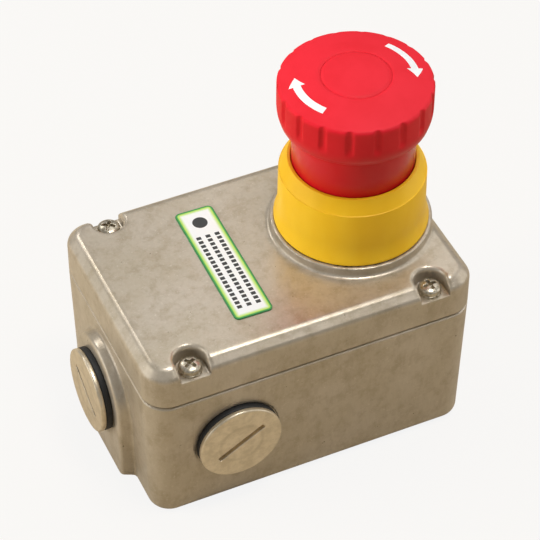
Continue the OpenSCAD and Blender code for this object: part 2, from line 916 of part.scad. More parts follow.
// Sleeve that turns with the head; its lugs run in the barrel's track
module cam_sleeve() {
    color("whitesmoke")
        at_button()
            difference() {
                union() {
                    translate([0, 0, sleeve_z])
                        cylinder(h = hub_z - sleeve_z, r = sleeve_r);
                    for (i = [0:cam_lug_count - 1])
                        rotate([0, 0, 360 * i / cam_lug_count])
                            sector(lug_tip_r, cam_lug_z, cam_lug_h, cam_lug_angle);
                }
                translate([0, 0, sleeve_z - past])
                    cylinder(h = hub_z - sleeve_z + 2 * past, r = spindle_r);
            }
}

// Wedge of a round bar about +X, from the axis out to r
module sector(r, z, h, angle) {
    translate([0, 0, z])
        rotate([0, 0, -angle / 2])
            rotate_extrude(angle = angle)
                square([r, h]);
}

module actuator_barrel() {
    color("gray")
        at_button()
            difference() {
                union() {
                    difference() {
                        union() {
                            translate([0, 0, barrel_end_z])
                                cylinder(h = flange_z - barrel_end_z + weld, r = barrel_r);
                            translate([0, 0, flange_z])
                                cylinder(h = flange_t, r = flange_r);
                        }
                        translate([0, 0, spring_z])
                            cylinder(h = flange_top_z - spring_z + past, r = bore_r);
                        translate([0, 0, track_z])
                            cylinder(h = flange_top_z - track_z + past, r = track_r);
                    }
                    for (i = [0:cam_lug_count - 1])
                        rotate([0, 0, 360 * i / cam_lug_count + cam_rib_turn])
                            difference() {
                                sector(track_r + weld / 2, track_z, cam_lug_h, cam_rib_angle);
                                translate([0, 0, track_z - past])
                                    cylinder(h = cam_lug_h + 2 * past, r = bore_r);
                            }
                }
                translate([0, 0, barrel_end_z - past])
                    cylinder(h = barrel_floor_t + 2 * past, r = spindle_r + run_fit);
                for (side = [-1, 1])
                    translate([side * (guide_r + barrel_r) / 2, 0, barrel_end_z + guide_h / 2 - past / 2])
                        cube([barrel_r - guide_r + 2 * gap, guide_w + 2 * gap, guide_h + past], center = true);
            }
}

module barrel_wiper_seal() {
    color("black")
        at_button()
            translate([0, 0, flange_top_z])
                difference() {
                    cylinder(h = wiper_t, r = barrel_r);
                    translate([0, 0, -past])
                        cylinder(h = wiper_t + 2 * past, r = hub_r + run_fit);
                }
}

module barrel_washer() {
    color("lightgray")
        at_button()
            translate([0, 0, lid_under_z - nut_washer_t])
                difference() {
                    cylinder(h = nut_washer_t, r = nut_flats / 2 + 1);
                    translate([0, 0, -past])
                        cylinder(h = nut_washer_t + 2 * past, r = hole_r);
                }
}

module barrel_nut() {
    color("lightgray")
        at_button()
            translate([0, 0, nut_z])
                difference() {
                    cylinder(h = nut_t, r = nut_flats / 2 / cos(30), $fn = 6);
                    translate([0, 0, -past])
                        cylinder(h = nut_t + 2 * past, r = barrel_r + run_fit);
                }
}

// Helical spring from z = 0 up to its height, swept with a six-sided wire
module coil(coil_r, wire_r, turns, height) {
    steps = 16;
    sides = 6;
    count = turns * steps;
    rise = (height - 2 * wire_r) / count;
    points = [for (i = [0:count], j = [0:sides - 1])
        let (a = 360 * i / steps, b = 360 * j / sides, r = coil_r + wire_r * cos(b))
        [r * cos(a), r * sin(a), wire_r + rise * i + wire_r * sin(b)]];
    skin = [for (i = [0:count - 1], j = [0:sides - 1], half = [0, 1])
        let (a = i * sides + j, b = i * sides + (j + 1) % sides)
        half == 0 ? [a, b, a + sides] : [b, b + sides, a + sides]];
    first = [for (j = [1:sides - 2]) [0, j + 1, j]];
    last = [for (j = [1:sides - 2]) [count * sides, count * sides + j, count * sides + j + 1]];
    polyhedron(points, concat(skin, first, last), convexity = 10);
}

module return_spring() {
    color("lightgray")
        at_button()
            translate([0, 0, spring_z])
                coil(bore_r - spring_wire_r - gap, spring_wire_r, 4, spring_h);
}

module push_plate() {
    color("whitesmoke")
        at_button()
            difference() {
                union() {
                    translate([-plate_l / 2, -plate_w / 2, plate_z])
                        cube([plate_l, plate_w, plate_t]);
                    for (side = [-1, 1])
                        translate([side * (guide_r + barrel_r - gap) / 2, 0, plate_top_z - weld + guide_h / 2])
                            cube([barrel_r - guide_r - gap, guide_w, guide_h - weld], center = true);
                }
                translate([0, 0, plate_z - past])
                    cylinder(h = plate_t + 2 * past, r = spindle_end_r + run_fit);
            }
}

// Plate clipped under the nut, with a leg at each end that carries the blocks
module contact_carrier() {
    width = 2 * block_pitch + block_w;
    color("black")
        at_button()
            difference() {
                translate([-width / 2, -block_l / 2, block_top_z])
                    cube([width, block_l, nut_z - block_top_z]);
                translate([-width / 2 - past, leg_t - block_l / 2, block_top_z - past])
                    cube([width + 2 * past, block_l - 2 * leg_t, nut_z - carrier_t - block_top_z + past]);
                translate([0, 0, block_top_z - past])
                    cylinder(h = nut_z - block_top_z + 2 * past, r = barrel_r + run_fit);
            }
}

// Moves its children to one block: z = 0 is the block's top
module at_block(place) {
    translate([button_x + place * block_pitch, button_y, block_top_z])
        children();
}

// Housing with a chamber for the bridge, a pocket at each end for a terminal,
// and hooks that clip over the carrier's legs
module block_housing(tip_drop) {
    inner_w = block_w - 2 * block_wall;
    difference() {
        translate([-block_w / 2, -block_l / 2, -block_h])
            cube([block_w, block_l, block_h]);
        translate([-inner_w / 2, -chamber_l / 2, -block_floor_drop])
            cube([inner_w, chamber_l, block_floor_drop - block_roof]);
        translate([0, 0, -block_roof - past])
            cylinder(h = block_roof + 2 * past, r = plunger_r + run_fit);
        both_ends() {
            translate([-inner_w / 2, pocket_in, -block_h - past])
                cube([inner_w, pocket_out - pocket_in, block_h + past - block_roof]);
            translate([-wire_slot_w / 2, pocket_out - past, -block_h - past])
                cube([wire_slot_w, block_wall + 2 * past, block_h + past - terminal_drop - strip_t]);
            translate([-strip_w / 2 - run_fit, 0, -tip_drop - strip_t - run_fit])
                cube([strip_w + 2 * run_fit, terminal_y, strip_t + 2 * run_fit]);
        }
    }
    both_ends()
        block_hook();
}

// Hook at one end of a block, rising past the outside of the carrier's leg
module block_hook() {
    translate([-block_w / 4, block_l / 2, -hook_root_h])
        cube([block_w / 2, run_fit + block_wall, hook_root_h]);
    translate([-block_w / 4, block_l / 2 + run_fit, 0])
        cube([block_w / 2, block_wall, hook_h]);
}

// Fixed contact strip of one side: silver tip, straight blade and a step to the terminal
module contact_strip(tip_drop, tip_up) {
    inner_y = bridge_l / 2 - 2 * tip_r - gap;
    step_y = pocket_in + gap;
    outer_y = terminal_y + terminal_tail;
    steps_down = tip_drop < terminal_drop;
    under_y = steps_down ? step_y : step_y + strip_t;
    over_y = steps_down ? step_y + strip_t : step_y;
    difference() {
        translate([-strip_w / 2, 0, 0])
            rotate([90, 0, 90])
                linear_extrude(strip_w)
                    polygon([
                        [inner_y, -tip_drop], [inner_y, -tip_drop - strip_t],
                        [under_y, -tip_drop - strip_t], [under_y, -terminal_drop - strip_t],
                        [outer_y, -terminal_drop - strip_t], [outer_y, -terminal_drop],
                        [over_y, -terminal_drop], [over_y, -tip_drop]
                    ]);
        translate([0, terminal_y, -terminal_drop - strip_t - past])
            cylinder(h = strip_t + 2 * past, r = terminal_screw_r + run_fit);
    }
    translate([0, bridge_l / 2 - tip_r, tip_up ? -tip_drop : -tip_drop - strip_t - tip_t])
        cylinder(h = tip_t, r = tip_r);
}

module both_ends() {
    for (turn = [0, 180])
        rotate([0, 0, turn])
            children();
}

module clamp_plate() {
    translate([0, terminal_y, -terminal_drop - strip_t - clamp_t])
        linear_extrude(clamp_t)
            difference() {
                square([block_w - 2 * block_wall - gap, clamp_l], center = true);
                circle(terminal_screw_r + run_fit);
            }
}

module terminal_screw() {
    translate([0, terminal_y, -terminal_drop - strip_t - clamp_t])
        rotate([180, 0, 0])
            pan_screw(terminal_screw_r, terminal_screw_l, 1.8 * terminal_screw_r, 1.4 * terminal_screw_r);
}

// Plunger that ends a gap under its pusher, with a slot for the bridge and a wide foot
module plunger(pusher_z) {
    difference() {
        union() {
            translate([0, 0, -plunger_foot_drop])
                cylinder(h = pusher_z - gap - block_top_z + plunger_foot_drop, r = plunger_r);
            translate([0, 0, -plunger_foot_drop])
                cylinder(h = plunger_foot_t, r = plunger_r + plunger_foot_w);
        }
        translate([-waist_w / 2 - run_fit, -plunger_r - past, -bridge_drop - bridge_t])
            cube([waist_w + 2 * run_fit, 2 * plunger_r + 2 * past, bridge_t]);
    }
}

// Moving bridge: waisted where it passes through the plunger, a silver tip at each end
module bridge(tip_up) {
    notch_w = (bridge_w - waist_w) / 2;
    translate([0, 0, -bridge_drop - bridge_t])
        linear_extrude(bridge_t)
            difference() {
                square([bridge_w, bridge_l], center = true);
                for (side = [-1, 1])
                    translate([side * (waist_w + notch_w) / 2, 0])
                        square([notch_w, 2 * plunger_r + 2 * gap], center = true);
            }
    both_ends()
        translate([0, bridge_l / 2 - tip_r, tip_up ? -bridge_drop : -bridge_drop - bridge_t - tip_t])
            cylinder(h = tip_t, r = tip_r);
}

module plunger_spring() {
    height = block_floor_drop - plunger_foot_drop;
    translate([0, 0, -block_floor_drop])
        coil(plunger_r + plunger_wire_r, plunger_wire_r, plunger_spring_turns, height);
}

module nc_block_housings() {
    color("firebrick")
        for (place = [-1, 1])
            at_block(place)
                block_housing(nc_strip_drop);
}

module nc_fixed_contacts() {
    color("goldenrod")
        for (place = [-1, 1])
            at_block(place)
                both_ends()
                    contact_strip(nc_strip_drop, false);
}

module nc_clamp_plates() {
    color("lightgray")
        for (place = [-1, 1])
            at_block(place)
                both_ends()
                    clamp_plate();
}

module nc_terminal_screws() {
    color("gainsboro")
        for (place = [-1, 1])
            at_block(place)
                both_ends()
                    terminal_screw();
}

module nc_plungers() {
    color("whitesmoke")
        for (place = [-1, 1])
            at_block(place)
                plunger(plate_z);
}

module nc_bridges() {
    color("goldenrod")
        for (place = [-1, 1])
            at_block(place)
                bridge(true);
}

module nc_springs() {
    color("lightgray")
        for (place = [-1, 1])
            at_block(place)
                plunger_spring();
}

module no_block_housing() {
    color("seagreen")
        at_block(0)
            block_housing(no_strip_drop);
}

module no_fixed_contacts() {
    color("goldenrod")
        at_block(0)
            both_ends()
                contact_strip(no_strip_drop, true);
}

module no_clamp_plates() {
    color("lightgray")
        at_block(0)
            both_ends()
                clamp_plate();
}

module no_terminal_screws() {
    color("gainsboro")
        at_block(0)
            both_ends()
                terminal_screw();
}

module no_plunger() {
    color("whitesmoke")
        at_block(0)
            plunger(spindle_end_z);
}

module no_bridge() {
    color("goldenrod")
        at_block(0)
            bridge(false);
}

module no_spring() {
    color("lightgray")
        at_block(0)
            plunger_spring();
}

enclosure_body();
enclosure_lid();
lid_gasket();
lid_screws();
lid_screw_washers();
left_entry_plug();
front_entry_plug();
back_entry_plug();
left_plug_seal();
front_plug_seal();
back_plug_seal();
earth_screw();
earth_clamp();
lid_label();
mushroom_head();
head_cap();
head_screw();
spindle();
cam_sleeve();
spindle_circlip();
yellow_collar();
collar_seal();
actuator_barrel();
barrel_wiper_seal();
barrel_washer();
barrel_nut();
return_spring();
push_plate();
contact_carrier();
nc_block_housings();
nc_fixed_contacts();
nc_clamp_plates();
nc_terminal_screws();
nc_plungers();
nc_bridges();
nc_springs();
no_block_housing();
no_fixed_contacts();
no_clamp_plates();
no_terminal_screws();
no_plunger();
no_bridge();
no_spring();
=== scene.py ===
"""Emergency stop station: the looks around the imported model.

Lengths in this file are in millimetres until a mesh is made, and mm_mesh turns them into metres.
The castings, plugs and screws are solids given as distance fields, with their edges rounded and
their inner corners filleted, and field_mesh puts a fine mesh on them. Round parts are turned from
profiles. Everything stands where the CAD nodes' boxes say.
"""
import itertools
import json
import math

import bmesh
import bpy
import numpy as np
from mathutils import Matrix, Vector

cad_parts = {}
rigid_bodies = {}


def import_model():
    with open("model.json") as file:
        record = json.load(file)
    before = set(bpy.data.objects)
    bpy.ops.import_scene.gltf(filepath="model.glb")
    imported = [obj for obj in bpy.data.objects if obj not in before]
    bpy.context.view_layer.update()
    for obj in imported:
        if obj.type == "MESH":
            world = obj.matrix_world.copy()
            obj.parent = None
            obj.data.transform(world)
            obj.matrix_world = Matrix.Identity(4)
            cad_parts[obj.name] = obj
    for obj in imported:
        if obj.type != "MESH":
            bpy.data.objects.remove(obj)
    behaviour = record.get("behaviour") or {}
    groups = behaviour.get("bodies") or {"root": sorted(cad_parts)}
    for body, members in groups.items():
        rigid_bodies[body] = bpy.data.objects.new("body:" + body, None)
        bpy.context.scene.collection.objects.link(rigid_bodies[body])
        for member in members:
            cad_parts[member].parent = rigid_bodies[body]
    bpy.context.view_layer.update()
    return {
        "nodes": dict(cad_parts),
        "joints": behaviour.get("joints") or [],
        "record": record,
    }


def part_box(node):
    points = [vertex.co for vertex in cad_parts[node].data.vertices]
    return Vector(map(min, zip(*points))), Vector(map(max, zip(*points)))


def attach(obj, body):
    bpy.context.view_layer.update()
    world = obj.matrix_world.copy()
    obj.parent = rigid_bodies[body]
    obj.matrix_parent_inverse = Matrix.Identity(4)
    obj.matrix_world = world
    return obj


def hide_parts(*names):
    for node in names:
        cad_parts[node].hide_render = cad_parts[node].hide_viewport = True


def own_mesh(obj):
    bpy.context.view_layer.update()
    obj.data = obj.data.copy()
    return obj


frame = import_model()
MM = 0.001


def box_mm(node):
    """Lowest and highest corner of a CAD node, in millimetres."""
    low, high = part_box(node)
    return np.array(low) / MM, np.array(high) / MM


# ---------------------------------------------------------------- places, from the CAD nodes
BODY_LOW = box_mm("enclosure_body")[0]
LID_LOW, LID_HIGH = box_mm("enclosure_lid")
LABEL_LOW, LABEL_HIGH = box_mm("lid_label")
WASHER_LOW, WASHER_HIGH = box_mm("lid_screw_washers")
SCREW_LOW, SCREW_HIGH = box_mm("lid_screws")
HEAD_LOW, HEAD_HIGH = box_mm("mushroom_head")
CAP_LOW, CAP_HIGH = box_mm("head_cap")
HUB_LOW = box_mm("cam_sleeve")[1][2]
COLLAR_LOW, COLLAR_HIGH = box_mm("yellow_collar")
SEAL_LOW, SEAL_HIGH = box_mm("collar_seal")
SPOT_Y = box_mm("back_plug_seal")[0][1]
WIPER_Z = box_mm("barrel_wiper_seal")[0][2]
BARREL_TOP_Z = box_mm("actuator_barrel")[1][2]

BOX_L, BOX_W = LID_HIGH[0] - LID_LOW[0], LID_HIGH[1] - LID_LOW[1]
PARTING_Z = LID_LOW[2]
LID_TOP_Z = LABEL_LOW[2]
BOSS_TOP_Z = LID_HIGH[2]
POCKET_Z = WASHER_LOW[2]
AXIS = (HEAD_LOW + HEAD_HIGH)[:2] / 2
HEAD_R = (HEAD_HIGH[0] - HEAD_LOW[0]) / 2
CAP_R = (CAP_HIGH[0] - CAP_LOW[0]) / 2
COLLAR_FOOT_R = (COLLAR_HIGH[0] - COLLAR_LOW[0]) / 2
SEAL_R = (SEAL_HIGH[0] - SEAL_LOW[0]) / 2

# ---------------------------------------------------------------- sizes of the forms
# Castings: corners, draft, rounded foot and wall thicknesses
CORNER_R, DRAFT, FOOT_R = 7, 1, 2.5
WALL, FLOOR_T, LID_T = 3.6, 3.5, 3
HOLLOW_R, POST_R = 0.5, 0.3

# Where body and lid meet: rounding and chamfer, and the groove that the lid leaves open
PARTING_R, PARTING_CHAMFER = 0.12, 0.42
PARTING_GAP, PARTING_DEPTH = 0.72, 1.2

# Lid: bevel, and the boss with its rim round the collar's seal
EDGE_R = 0.7
BEVEL_H, BEVEL_W = 2.5, 2.7
SHOULDER_Z = LID_TOP_Z - BEVEL_H
BOSS_R, BOSS_EDGE, BOSS_FILLET = 21.4, 0.35, 0.9
BOSS_RIM_H, BOSS_RIM_GAP = 0.45, 0.15
HOLE_R = 11.15

# Lid screws in their pockets
WASHER_R, WASHER_T = 3.1, WASHER_HIGH[2] - WASHER_LOW[2]
SCREW_X = WASHER_HIGH[0] - WASHER_R
SCREW_Y = WASHER_HIGH[1] - WASHER_R
SCREW_R, SCREW_HEAD_R, SCREW_HOLE_GAP = 1.5, 3, 0.1
SCREW_BOSS_R = 5.8
THREAD_PITCH, THREAD_DEPTH = 0.5, 0.16
CROSS_REACH, CROSS_HALF_W, CROSS_TURN = 1.9, 0.45, math.radians(20)
CROSS_TAPER, CROSS_FLOOR = 0.35, 0.35
POCKET_R, POCKET_FOOT_R, POCKET_LIP_R = 4.15, 0.3, 0.8

# Gasket between the castings: how far outside the hollow it runs, and its section
GASKET_OUT, GASKET_HALF_W = 1.7, 0.65
GASKET_DROP, GASKET_HALF_H = 0.75, 0.7

# Rear fixings: tapped holes in pillars
FIXINGS = next(m["dims"] for m in frame["record"]["mounts"] if m["name"] == "rear_fixings")
FIXING_X, FIXING_Y = FIXINGS["spacing_x_mm"] / 2, FIXINGS["spacing_y_mm"] / 2
FIXING_R, FIXING_EDGE = FIXINGS["hole_r_mm"], 0.2
FIXING_DEPTH, PILLAR_R, PILLAR_CAP = 8, 5, 2

# Conduit entries: the side ones on spot faces, the end one on an arched pad
ENTRY_R, ENTRY_Z, ENTRY_X = 10, 23, -22.5
SPOT_GAP, SPOT_EDGE = 0.3, 0.15
PAD_R, PAD_Z = 15, 2.6
PAD_DRAFT, PAD_FOOT_DRAFT = 0.22, 0.3
PAD_CORNER, PAD_EDGE, PAD_FILLET = 1.5, 0.8, 0.6

# Stopping plugs
PLUG_R, PLUG_T, PLUG_EDGE, PLUG_SEAL_T = 11.5, 1.5, 0.45, 1.8
SHANK_GAP, SHANK_L, SHANK_EDGE, SHANK_BORE_R = 0.1, 9, 0.5, 7.6
SLOT_L, SLOT_W, SLOT_DEPTH = 14.8, 1.4, 1.2

# Label, with a plain disc and three equal rows of dashes: places and sizes along and across it
LABEL_L, LABEL_W, LABEL_R, LABEL_TURN, LABEL_EDGE = 42.2, 10.6, 1.4, -1, 0.08
DISC_PLACE, DISC_R, DISC_SOFT = 15.7, 2.1, 0.1
ROWS_START, ROWS_END, ROW_PLACES, ROW_HALF_H = -18, 10.8, (-2.6, 0, 2.6), 0.65
DASH_PITCH, DASH_SHARE, INK = 1.6, 0.68, 0.98

# Barrel's flange inside the collar, and the neck's room above it for the travel
FLANGE_T, NECK_ROOM = 2.5, 6.5
FLANGE_Z = WIPER_Z - FLANGE_T
NECK_Z = BARREL_TOP_Z + NECK_ROOM

# Collar: the side above its foot, and the knee and lip at its top
COLLAR_SIDE_R, COLLAR_KNEE_R, COLLAR_KNEE_H, COLLAR_LIP_W = 19.5, 19.2, 4, 0.5

# Head, from its neck up
NECK_R, NECK_WALL, NECK_GAP = 16.1, 2.25, 0.6
UNDER_H, LIP_H, LIP_IN, SIDE_H, RIM_R, DOME_R = 3, 4.5, 0.7, 6.1, 1, 73
FLUTES, FLUTE_R, FLUTE_DEPTH, FLUTE_SOFT = 18, 1.15, 0.6, 0.22
FLUTE_BELOW, FLUTE_FADE = 1.5, 2.5
CAP_GAP, CAP_DIP, CAP_DIP_W = 0.05, 0.22, 0.5
CAP_POCKET_R, CAP_POCKET_H, HEAD_SCREW_R, HUB_IN_R, HUB_R = 3.9, 3, 2.05, 4, 7
CROWN_Z = CAP_HIGH[2] - (DOME_R - math.sqrt(DOME_R ** 2 - (HEAD_R - RIM_R) ** 2))
RIM_Z = CROWN_Z - RIM_R
SIDE_Z = RIM_Z - SIDE_H
LIP_Z = SIDE_Z - LIP_H
UNDER_Z = LIP_Z - UNDER_H
WEB_Z = SIDE_Z + 1.5


# ---------------------------------------------------------------- meshes
def add_object(name, mesh):
    """Links a new object with this mesh and returns it."""
    piece = bpy.data.objects.new(name, mesh)
    bpy.context.scene.collection.objects.link(piece)
    return piece


def mm_mesh(name, points, faces, sharp_angle=None):
    """Smooth-shaded mesh object from points in millimetres."""
    mesh = bpy.data.meshes.new(name)
    mesh.from_pydata((np.asarray(points) * MM).tolist(), [], faces)
    mesh.shade_smooth()
    if sharp_angle:
        mesh.set_sharp_from_angle(angle=math.radians(sharp_angle))
    mesh.validate()
    return add_object(name, mesh)


def slope(field, points, reach=0.02):
    """Gradient of a field at points."""
    parts = []
    for axis in range(3):
        move = np.zeros((3, 1))
        move[axis] = reach
        parts.append((field(*(points + move)) - field(*(points - move))) / (2 * reach))
    return np.array(parts)


def field_mesh(name, field, axes):
    """Closed mesh of the solid where field is below zero: one point in each grid cell that the
    surface crosses, moved onto the surface, and a face round each grid line that it crosses."""
    grid = np.meshgrid(*axes, indexing="ij")
    inside = field(*grid) < 0
    cells = tuple(n - 1 for n in inside.shape)
    count = np.zeros(cells, np.int8)
    for corner in itertools.product((0, 1), repeat=3):
        count += inside[tuple(slice(c, c + n) for c, n in zip(corner, cells))]
    crossed = (count > 0) & (count < 8)
    number = np.full(cells, -1)
    number[crossed] = np.arange(crossed.sum())
    where = np.nonzero(crossed)
    points = np.array([(axis[i] + axis[i + 1]) / 2 for axis, i in zip(axes, where)])
    for _ in range(6):
        gradient = slope(field, points)
        points = points - gradient * field(*points) / np.maximum((gradient ** 2).sum(0), 0.2)
    faces = []
    for axis in range(3):
        u, v = (axis + 1) % 3, (axis + 2) % 3
        step = [0, 0, 0]
        step[axis] = 1
        near = inside[tuple(slice(0, n - s) for n, s in zip(inside.shape, step))]
        far = inside[tuple(slice(s, n) for n, s in zip(inside.shape, step))]
        at = np.array(np.nonzero(near != far))
        ring = []
        for du, dv in ((-1, -1), (0, -1), (0, 0), (-1, 0)):
            cell = at.copy()
            cell[u] += du
            cell[v] += dv
            ring.append(number[tuple(cell)])
        ring = np.array(ring)
        outwards = near[tuple(at)]
        faces += ring[:, outwards].T.tolist() + ring[::-1, ~outwards].T.tolist()
    return mm_mesh(name, points.T, faces)


def marks(low, high, step, *zones, fine=0.4):
    """Grid marks from low to high, closer together inside the zones."""
    line = [low]
    while line[-1] < high:
        close = any(a <= line[-1] <= b for a, b in zones)
        line.append(line[-1] + (fine if close else step))
    return np.array(line)


def turned(name, profile, sides=128, axis=AXIS, radius_change=None, sharp_angle=None):
    """Mesh turned about a vertical axis from (r, z) points. The first and last lie on the axis, or
    the profile is a closed loop. radius_change(r, z, angle) moves points in or out."""
    profile = np.array(profile, float)
    angle = np.arange(sides) * 2 * math.pi / sides
    on_axis = profile[0][0] == 0
    rows = profile[1:-1] if on_axis else profile
    r, z = (np.repeat(rows[:, i:i + 1], sides, axis=1) for i in (0, 1))
    if radius_change:
        r = r + radius_change(r, z, angle[None, :])
    points = np.stack([axis[0] + r * np.cos(angle), axis[1] + r * np.sin(angle), z], axis=-1).reshape(-1, 3)
    count = len(rows)
    faces = []
    for i in range(count - 1 if on_axis else count):
        for j in range(sides):
            k = (j + 1) % sides
            a, b = i * sides, (i + 1) % count * sides
            faces.append((a + j, b + j, b + k, a + k))
    if on_axis:
        first, last = len(points), len(points) + 1
        points = np.vstack([points, [*axis, profile[0][1]], [*axis, profile[-1][1]]])
        end = (count - 1) * sides
        faces += [(first, j, (j + 1) % sides) for j in range(sides)]
        faces += [(last, end + (j + 1) % sides, end + j) for j in range(sides)]
    piece = mm_mesh(name, points, faces, sharp_angle)
    face_outwards(piece)
    return piece


def face_outwards(piece):
    """Turns all faces of a closed mesh outwards."""
    work = bmesh.new()
    work.from_mesh(piece.data)
    bmesh.ops.recalc_face_normals(work, faces=work.faces)
    work.to_mesh(piece.data)
    work.free()


def arc(centre, r, start, end, steps=6):
    """Points of an arc, with angles in degrees."""
    angles = np.radians(np.linspace(start, end, steps + 1))
    return [(centre[0] + r * math.cos(a), centre[1] + r * math.sin(a)) for a in angles]


def curve(p, q, r, t):
    """Point on a quadratic curve with ends p and r, pulled towards q."""
    return tuple((1 - t) ** 2 * a + 2 * t * (1 - t) * b + t * t * c for a, b, c in zip(p, q, r))


def fine_line(points, step):
    """The same open line with points no further apart than step."""
    line = [points[0]]
    for a, b in zip(points, points[1:]):
        count = max(1, math.ceil(math.dist(a, b) / step))
        line += [tuple(np.array(a) + (np.array(b) - np.array(a)) * i / count) for i in range(1, count + 1)]
    return line


# ---------------------------------------------------------------- distance fields
def both(a, b, r=0.0001):
    """Where two solids overlap, with the edge between them rounded."""
    return np.minimum(-r, np.maximum(a, b)) + np.hypot(np.maximum(r + a, 0), np.maximum(r + b, 0))


def either(a, b, r=0.0001):
    """Two solids together, with a fillet in the corner between them."""
    return -both(-a, -b, r)


def without(a, b, r=0.0001):
    """The first solid cut by the second, with the edge of the cut rounded."""
    return both(a, -b, r)


def rounded_rect(x, y, length, width, r):
    """Distance from the outline of a rectangle with rounded corners."""
    u, v = np.abs(x) - length / 2 + r, np.abs(y) - width / 2 + r
    return np.hypot(np.maximum(u, 0), np.maximum(v, 0)) + np.minimum(np.maximum(u, v), 0) - r


def body_field(x, y, z):
    """The body: drafted walls, a rounded foot, the arched pad, spot faces, entries and fixing holes."""
    wall = rounded_rect(x, y, BOX_L, BOX_W, CORNER_R) + DRAFT * (1 - z / PARTING_Z)
    chamfer = (wall + z - PARTING_Z + PARTING_CHAMFER) * math.sqrt(0.5)
    solid = np.maximum(both(both(wall, -z, FOOT_R), z - PARTING_Z), chamfer)
    depth = x - BODY_LOW[0]
    above = np.maximum(z - ENTRY_Z, 0)
    arch = both(np.hypot(y, above) - PAD_R - PAD_DRAFT * depth, PAD_Z - z - PAD_FOOT_DRAFT * depth, PAD_CORNER)
    pad = both(both(arch, -depth, PAD_EDGE), x + BOX_L / 2 - 2 * DRAFT - 1)
    solid = either(solid, pad, PAD_FILLET)
    spot = both(np.hypot(x - ENTRY_X, z - ENTRY_Z) - PLUG_R - SPOT_GAP, SPOT_Y - np.abs(y))
    solid = without(solid, spot, SPOT_EDGE)
    side_hole = np.hypot(x - ENTRY_X, z - ENTRY_Z) - ENTRY_R
    end_hole = both(np.hypot(y, z - ENTRY_Z) - ENTRY_R, x + BOX_L / 2 - 2 * WALL)
    fixing = both(np.hypot(np.abs(x) - FIXING_X, np.abs(y) - FIXING_Y) - FIXING_R, z - FIXING_DEPTH)
    return without(without(without(solid, side_hole), end_hole), fixing, FIXING_EDGE)


def lid_field(x, y, z):
    """The lid: skirt, bevel, boss with a low rim round the collar's seal, and four screw pockets
    open to the long sides."""
    skirt = rounded_rect(x, y, BOX_L, BOX_W, CORNER_R)
    bevel = (skirt * BEVEL_H + (z - SHOULDER_Z) * BEVEL_W) / math.hypot(BEVEL_H, BEVEL_W)
    block = both(both(skirt, bevel, EDGE_R), z - LID_TOP_Z, EDGE_R)
    parted = PARTING_Z + PARTING_GAP * (skirt > -PARTING_DEPTH)
    block = both(block, parted - z, PARTING_R)
    from_axis = np.hypot(x - AXIS[0], y - AXIS[1])
    boss_top = BOSS_TOP_Z + BOSS_RIM_H * (from_axis > SEAL_R + BOSS_RIM_GAP)
    boss = both(from_axis - BOSS_R, z - boss_top, BOSS_EDGE)
    boss = both(both(boss, SHOULDER_Z - 1 - z), skirt + 0.2)
    solid = np.maximum(either(block, boss, BOSS_FILLET), skirt)
    u, v = np.abs(x) - SCREW_X, np.abs(y) - SCREW_Y
    pocket = np.where(v < 0, np.hypot(u, v), np.abs(u)) - POCKET_R
    pocket = both(pocket, POCKET_Z - z, POCKET_FOOT_R)
    lip = np.clip((z - SHOULDER_Z + 0.3) / 1.5, 0, 1)
    solid = without(solid, pocket, POCKET_FOOT_R + POCKET_LIP_R * lip)
    return without(without(solid, from_axis - HOLE_R), np.hypot(u, v) - SCREW_R - SCREW_HOLE_GAP)


def turned_back(x, y, turn):
    """The coordinates in a plane that is turned by this angle."""
    return x * math.cos(turn) + y * math.sin(turn), y * math.cos(turn) - x * math.sin(turn)


def plug_field(x, y, z, angle):
    """A stopping plug on z = 0, with its hollow shank below and its slot at this angle."""
    r = np.hypot(x, y)
    head = both(r - PLUG_R, np.abs(z - PLUG_SEAL_T - PLUG_T / 2) - PLUG_T / 2, PLUG_EDGE)
    shank = both(both(r - ENTRY_R + SHANK_GAP, z - PLUG_SEAL_T - 1), -SHANK_L - z, SHANK_EDGE)
    shank = without(shank, both(r - SHANK_BORE_R, z))
    along, across = turned_back(x, y, math.radians(angle))
    slot = both(np.abs(along) - SLOT_L / 2, np.abs(across) - SLOT_W / 2, 0.2)
    slot = both(slot, PLUG_SEAL_T + PLUG_T - SLOT_DEPTH - z)
    return without(np.minimum(head, shank), slot, 0.14)


def screw_field(x, y, z):
    """A pan head with a cross recess, on z = 0."""
    r = np.hypot(x, y)
    height = SCREW_HIGH[2] - WASHER_HIGH[2]
    ball = 0.55 * height
    side = np.hypot(r / SCREW_HEAD_R, np.maximum(z - height + ball, 0) / ball) - 1
    head = both(side * ball, -z, 0.1)
    u, v = turned_back(x, y, CROSS_TURN)
    taper = CROSS_TAPER * (height - z)
    cross = np.minimum(
        both(np.abs(u) - CROSS_REACH + taper, np.abs(v) - CROSS_HALF_W + 0.2 * taper),
        both(np.abs(v) - CROSS_REACH + taper, np.abs(u) - CROSS_HALF_W + 0.2 * taper))
    cross = both(cross, CROSS_FLOOR * height - z)
    return without(head, cross, 0.1)


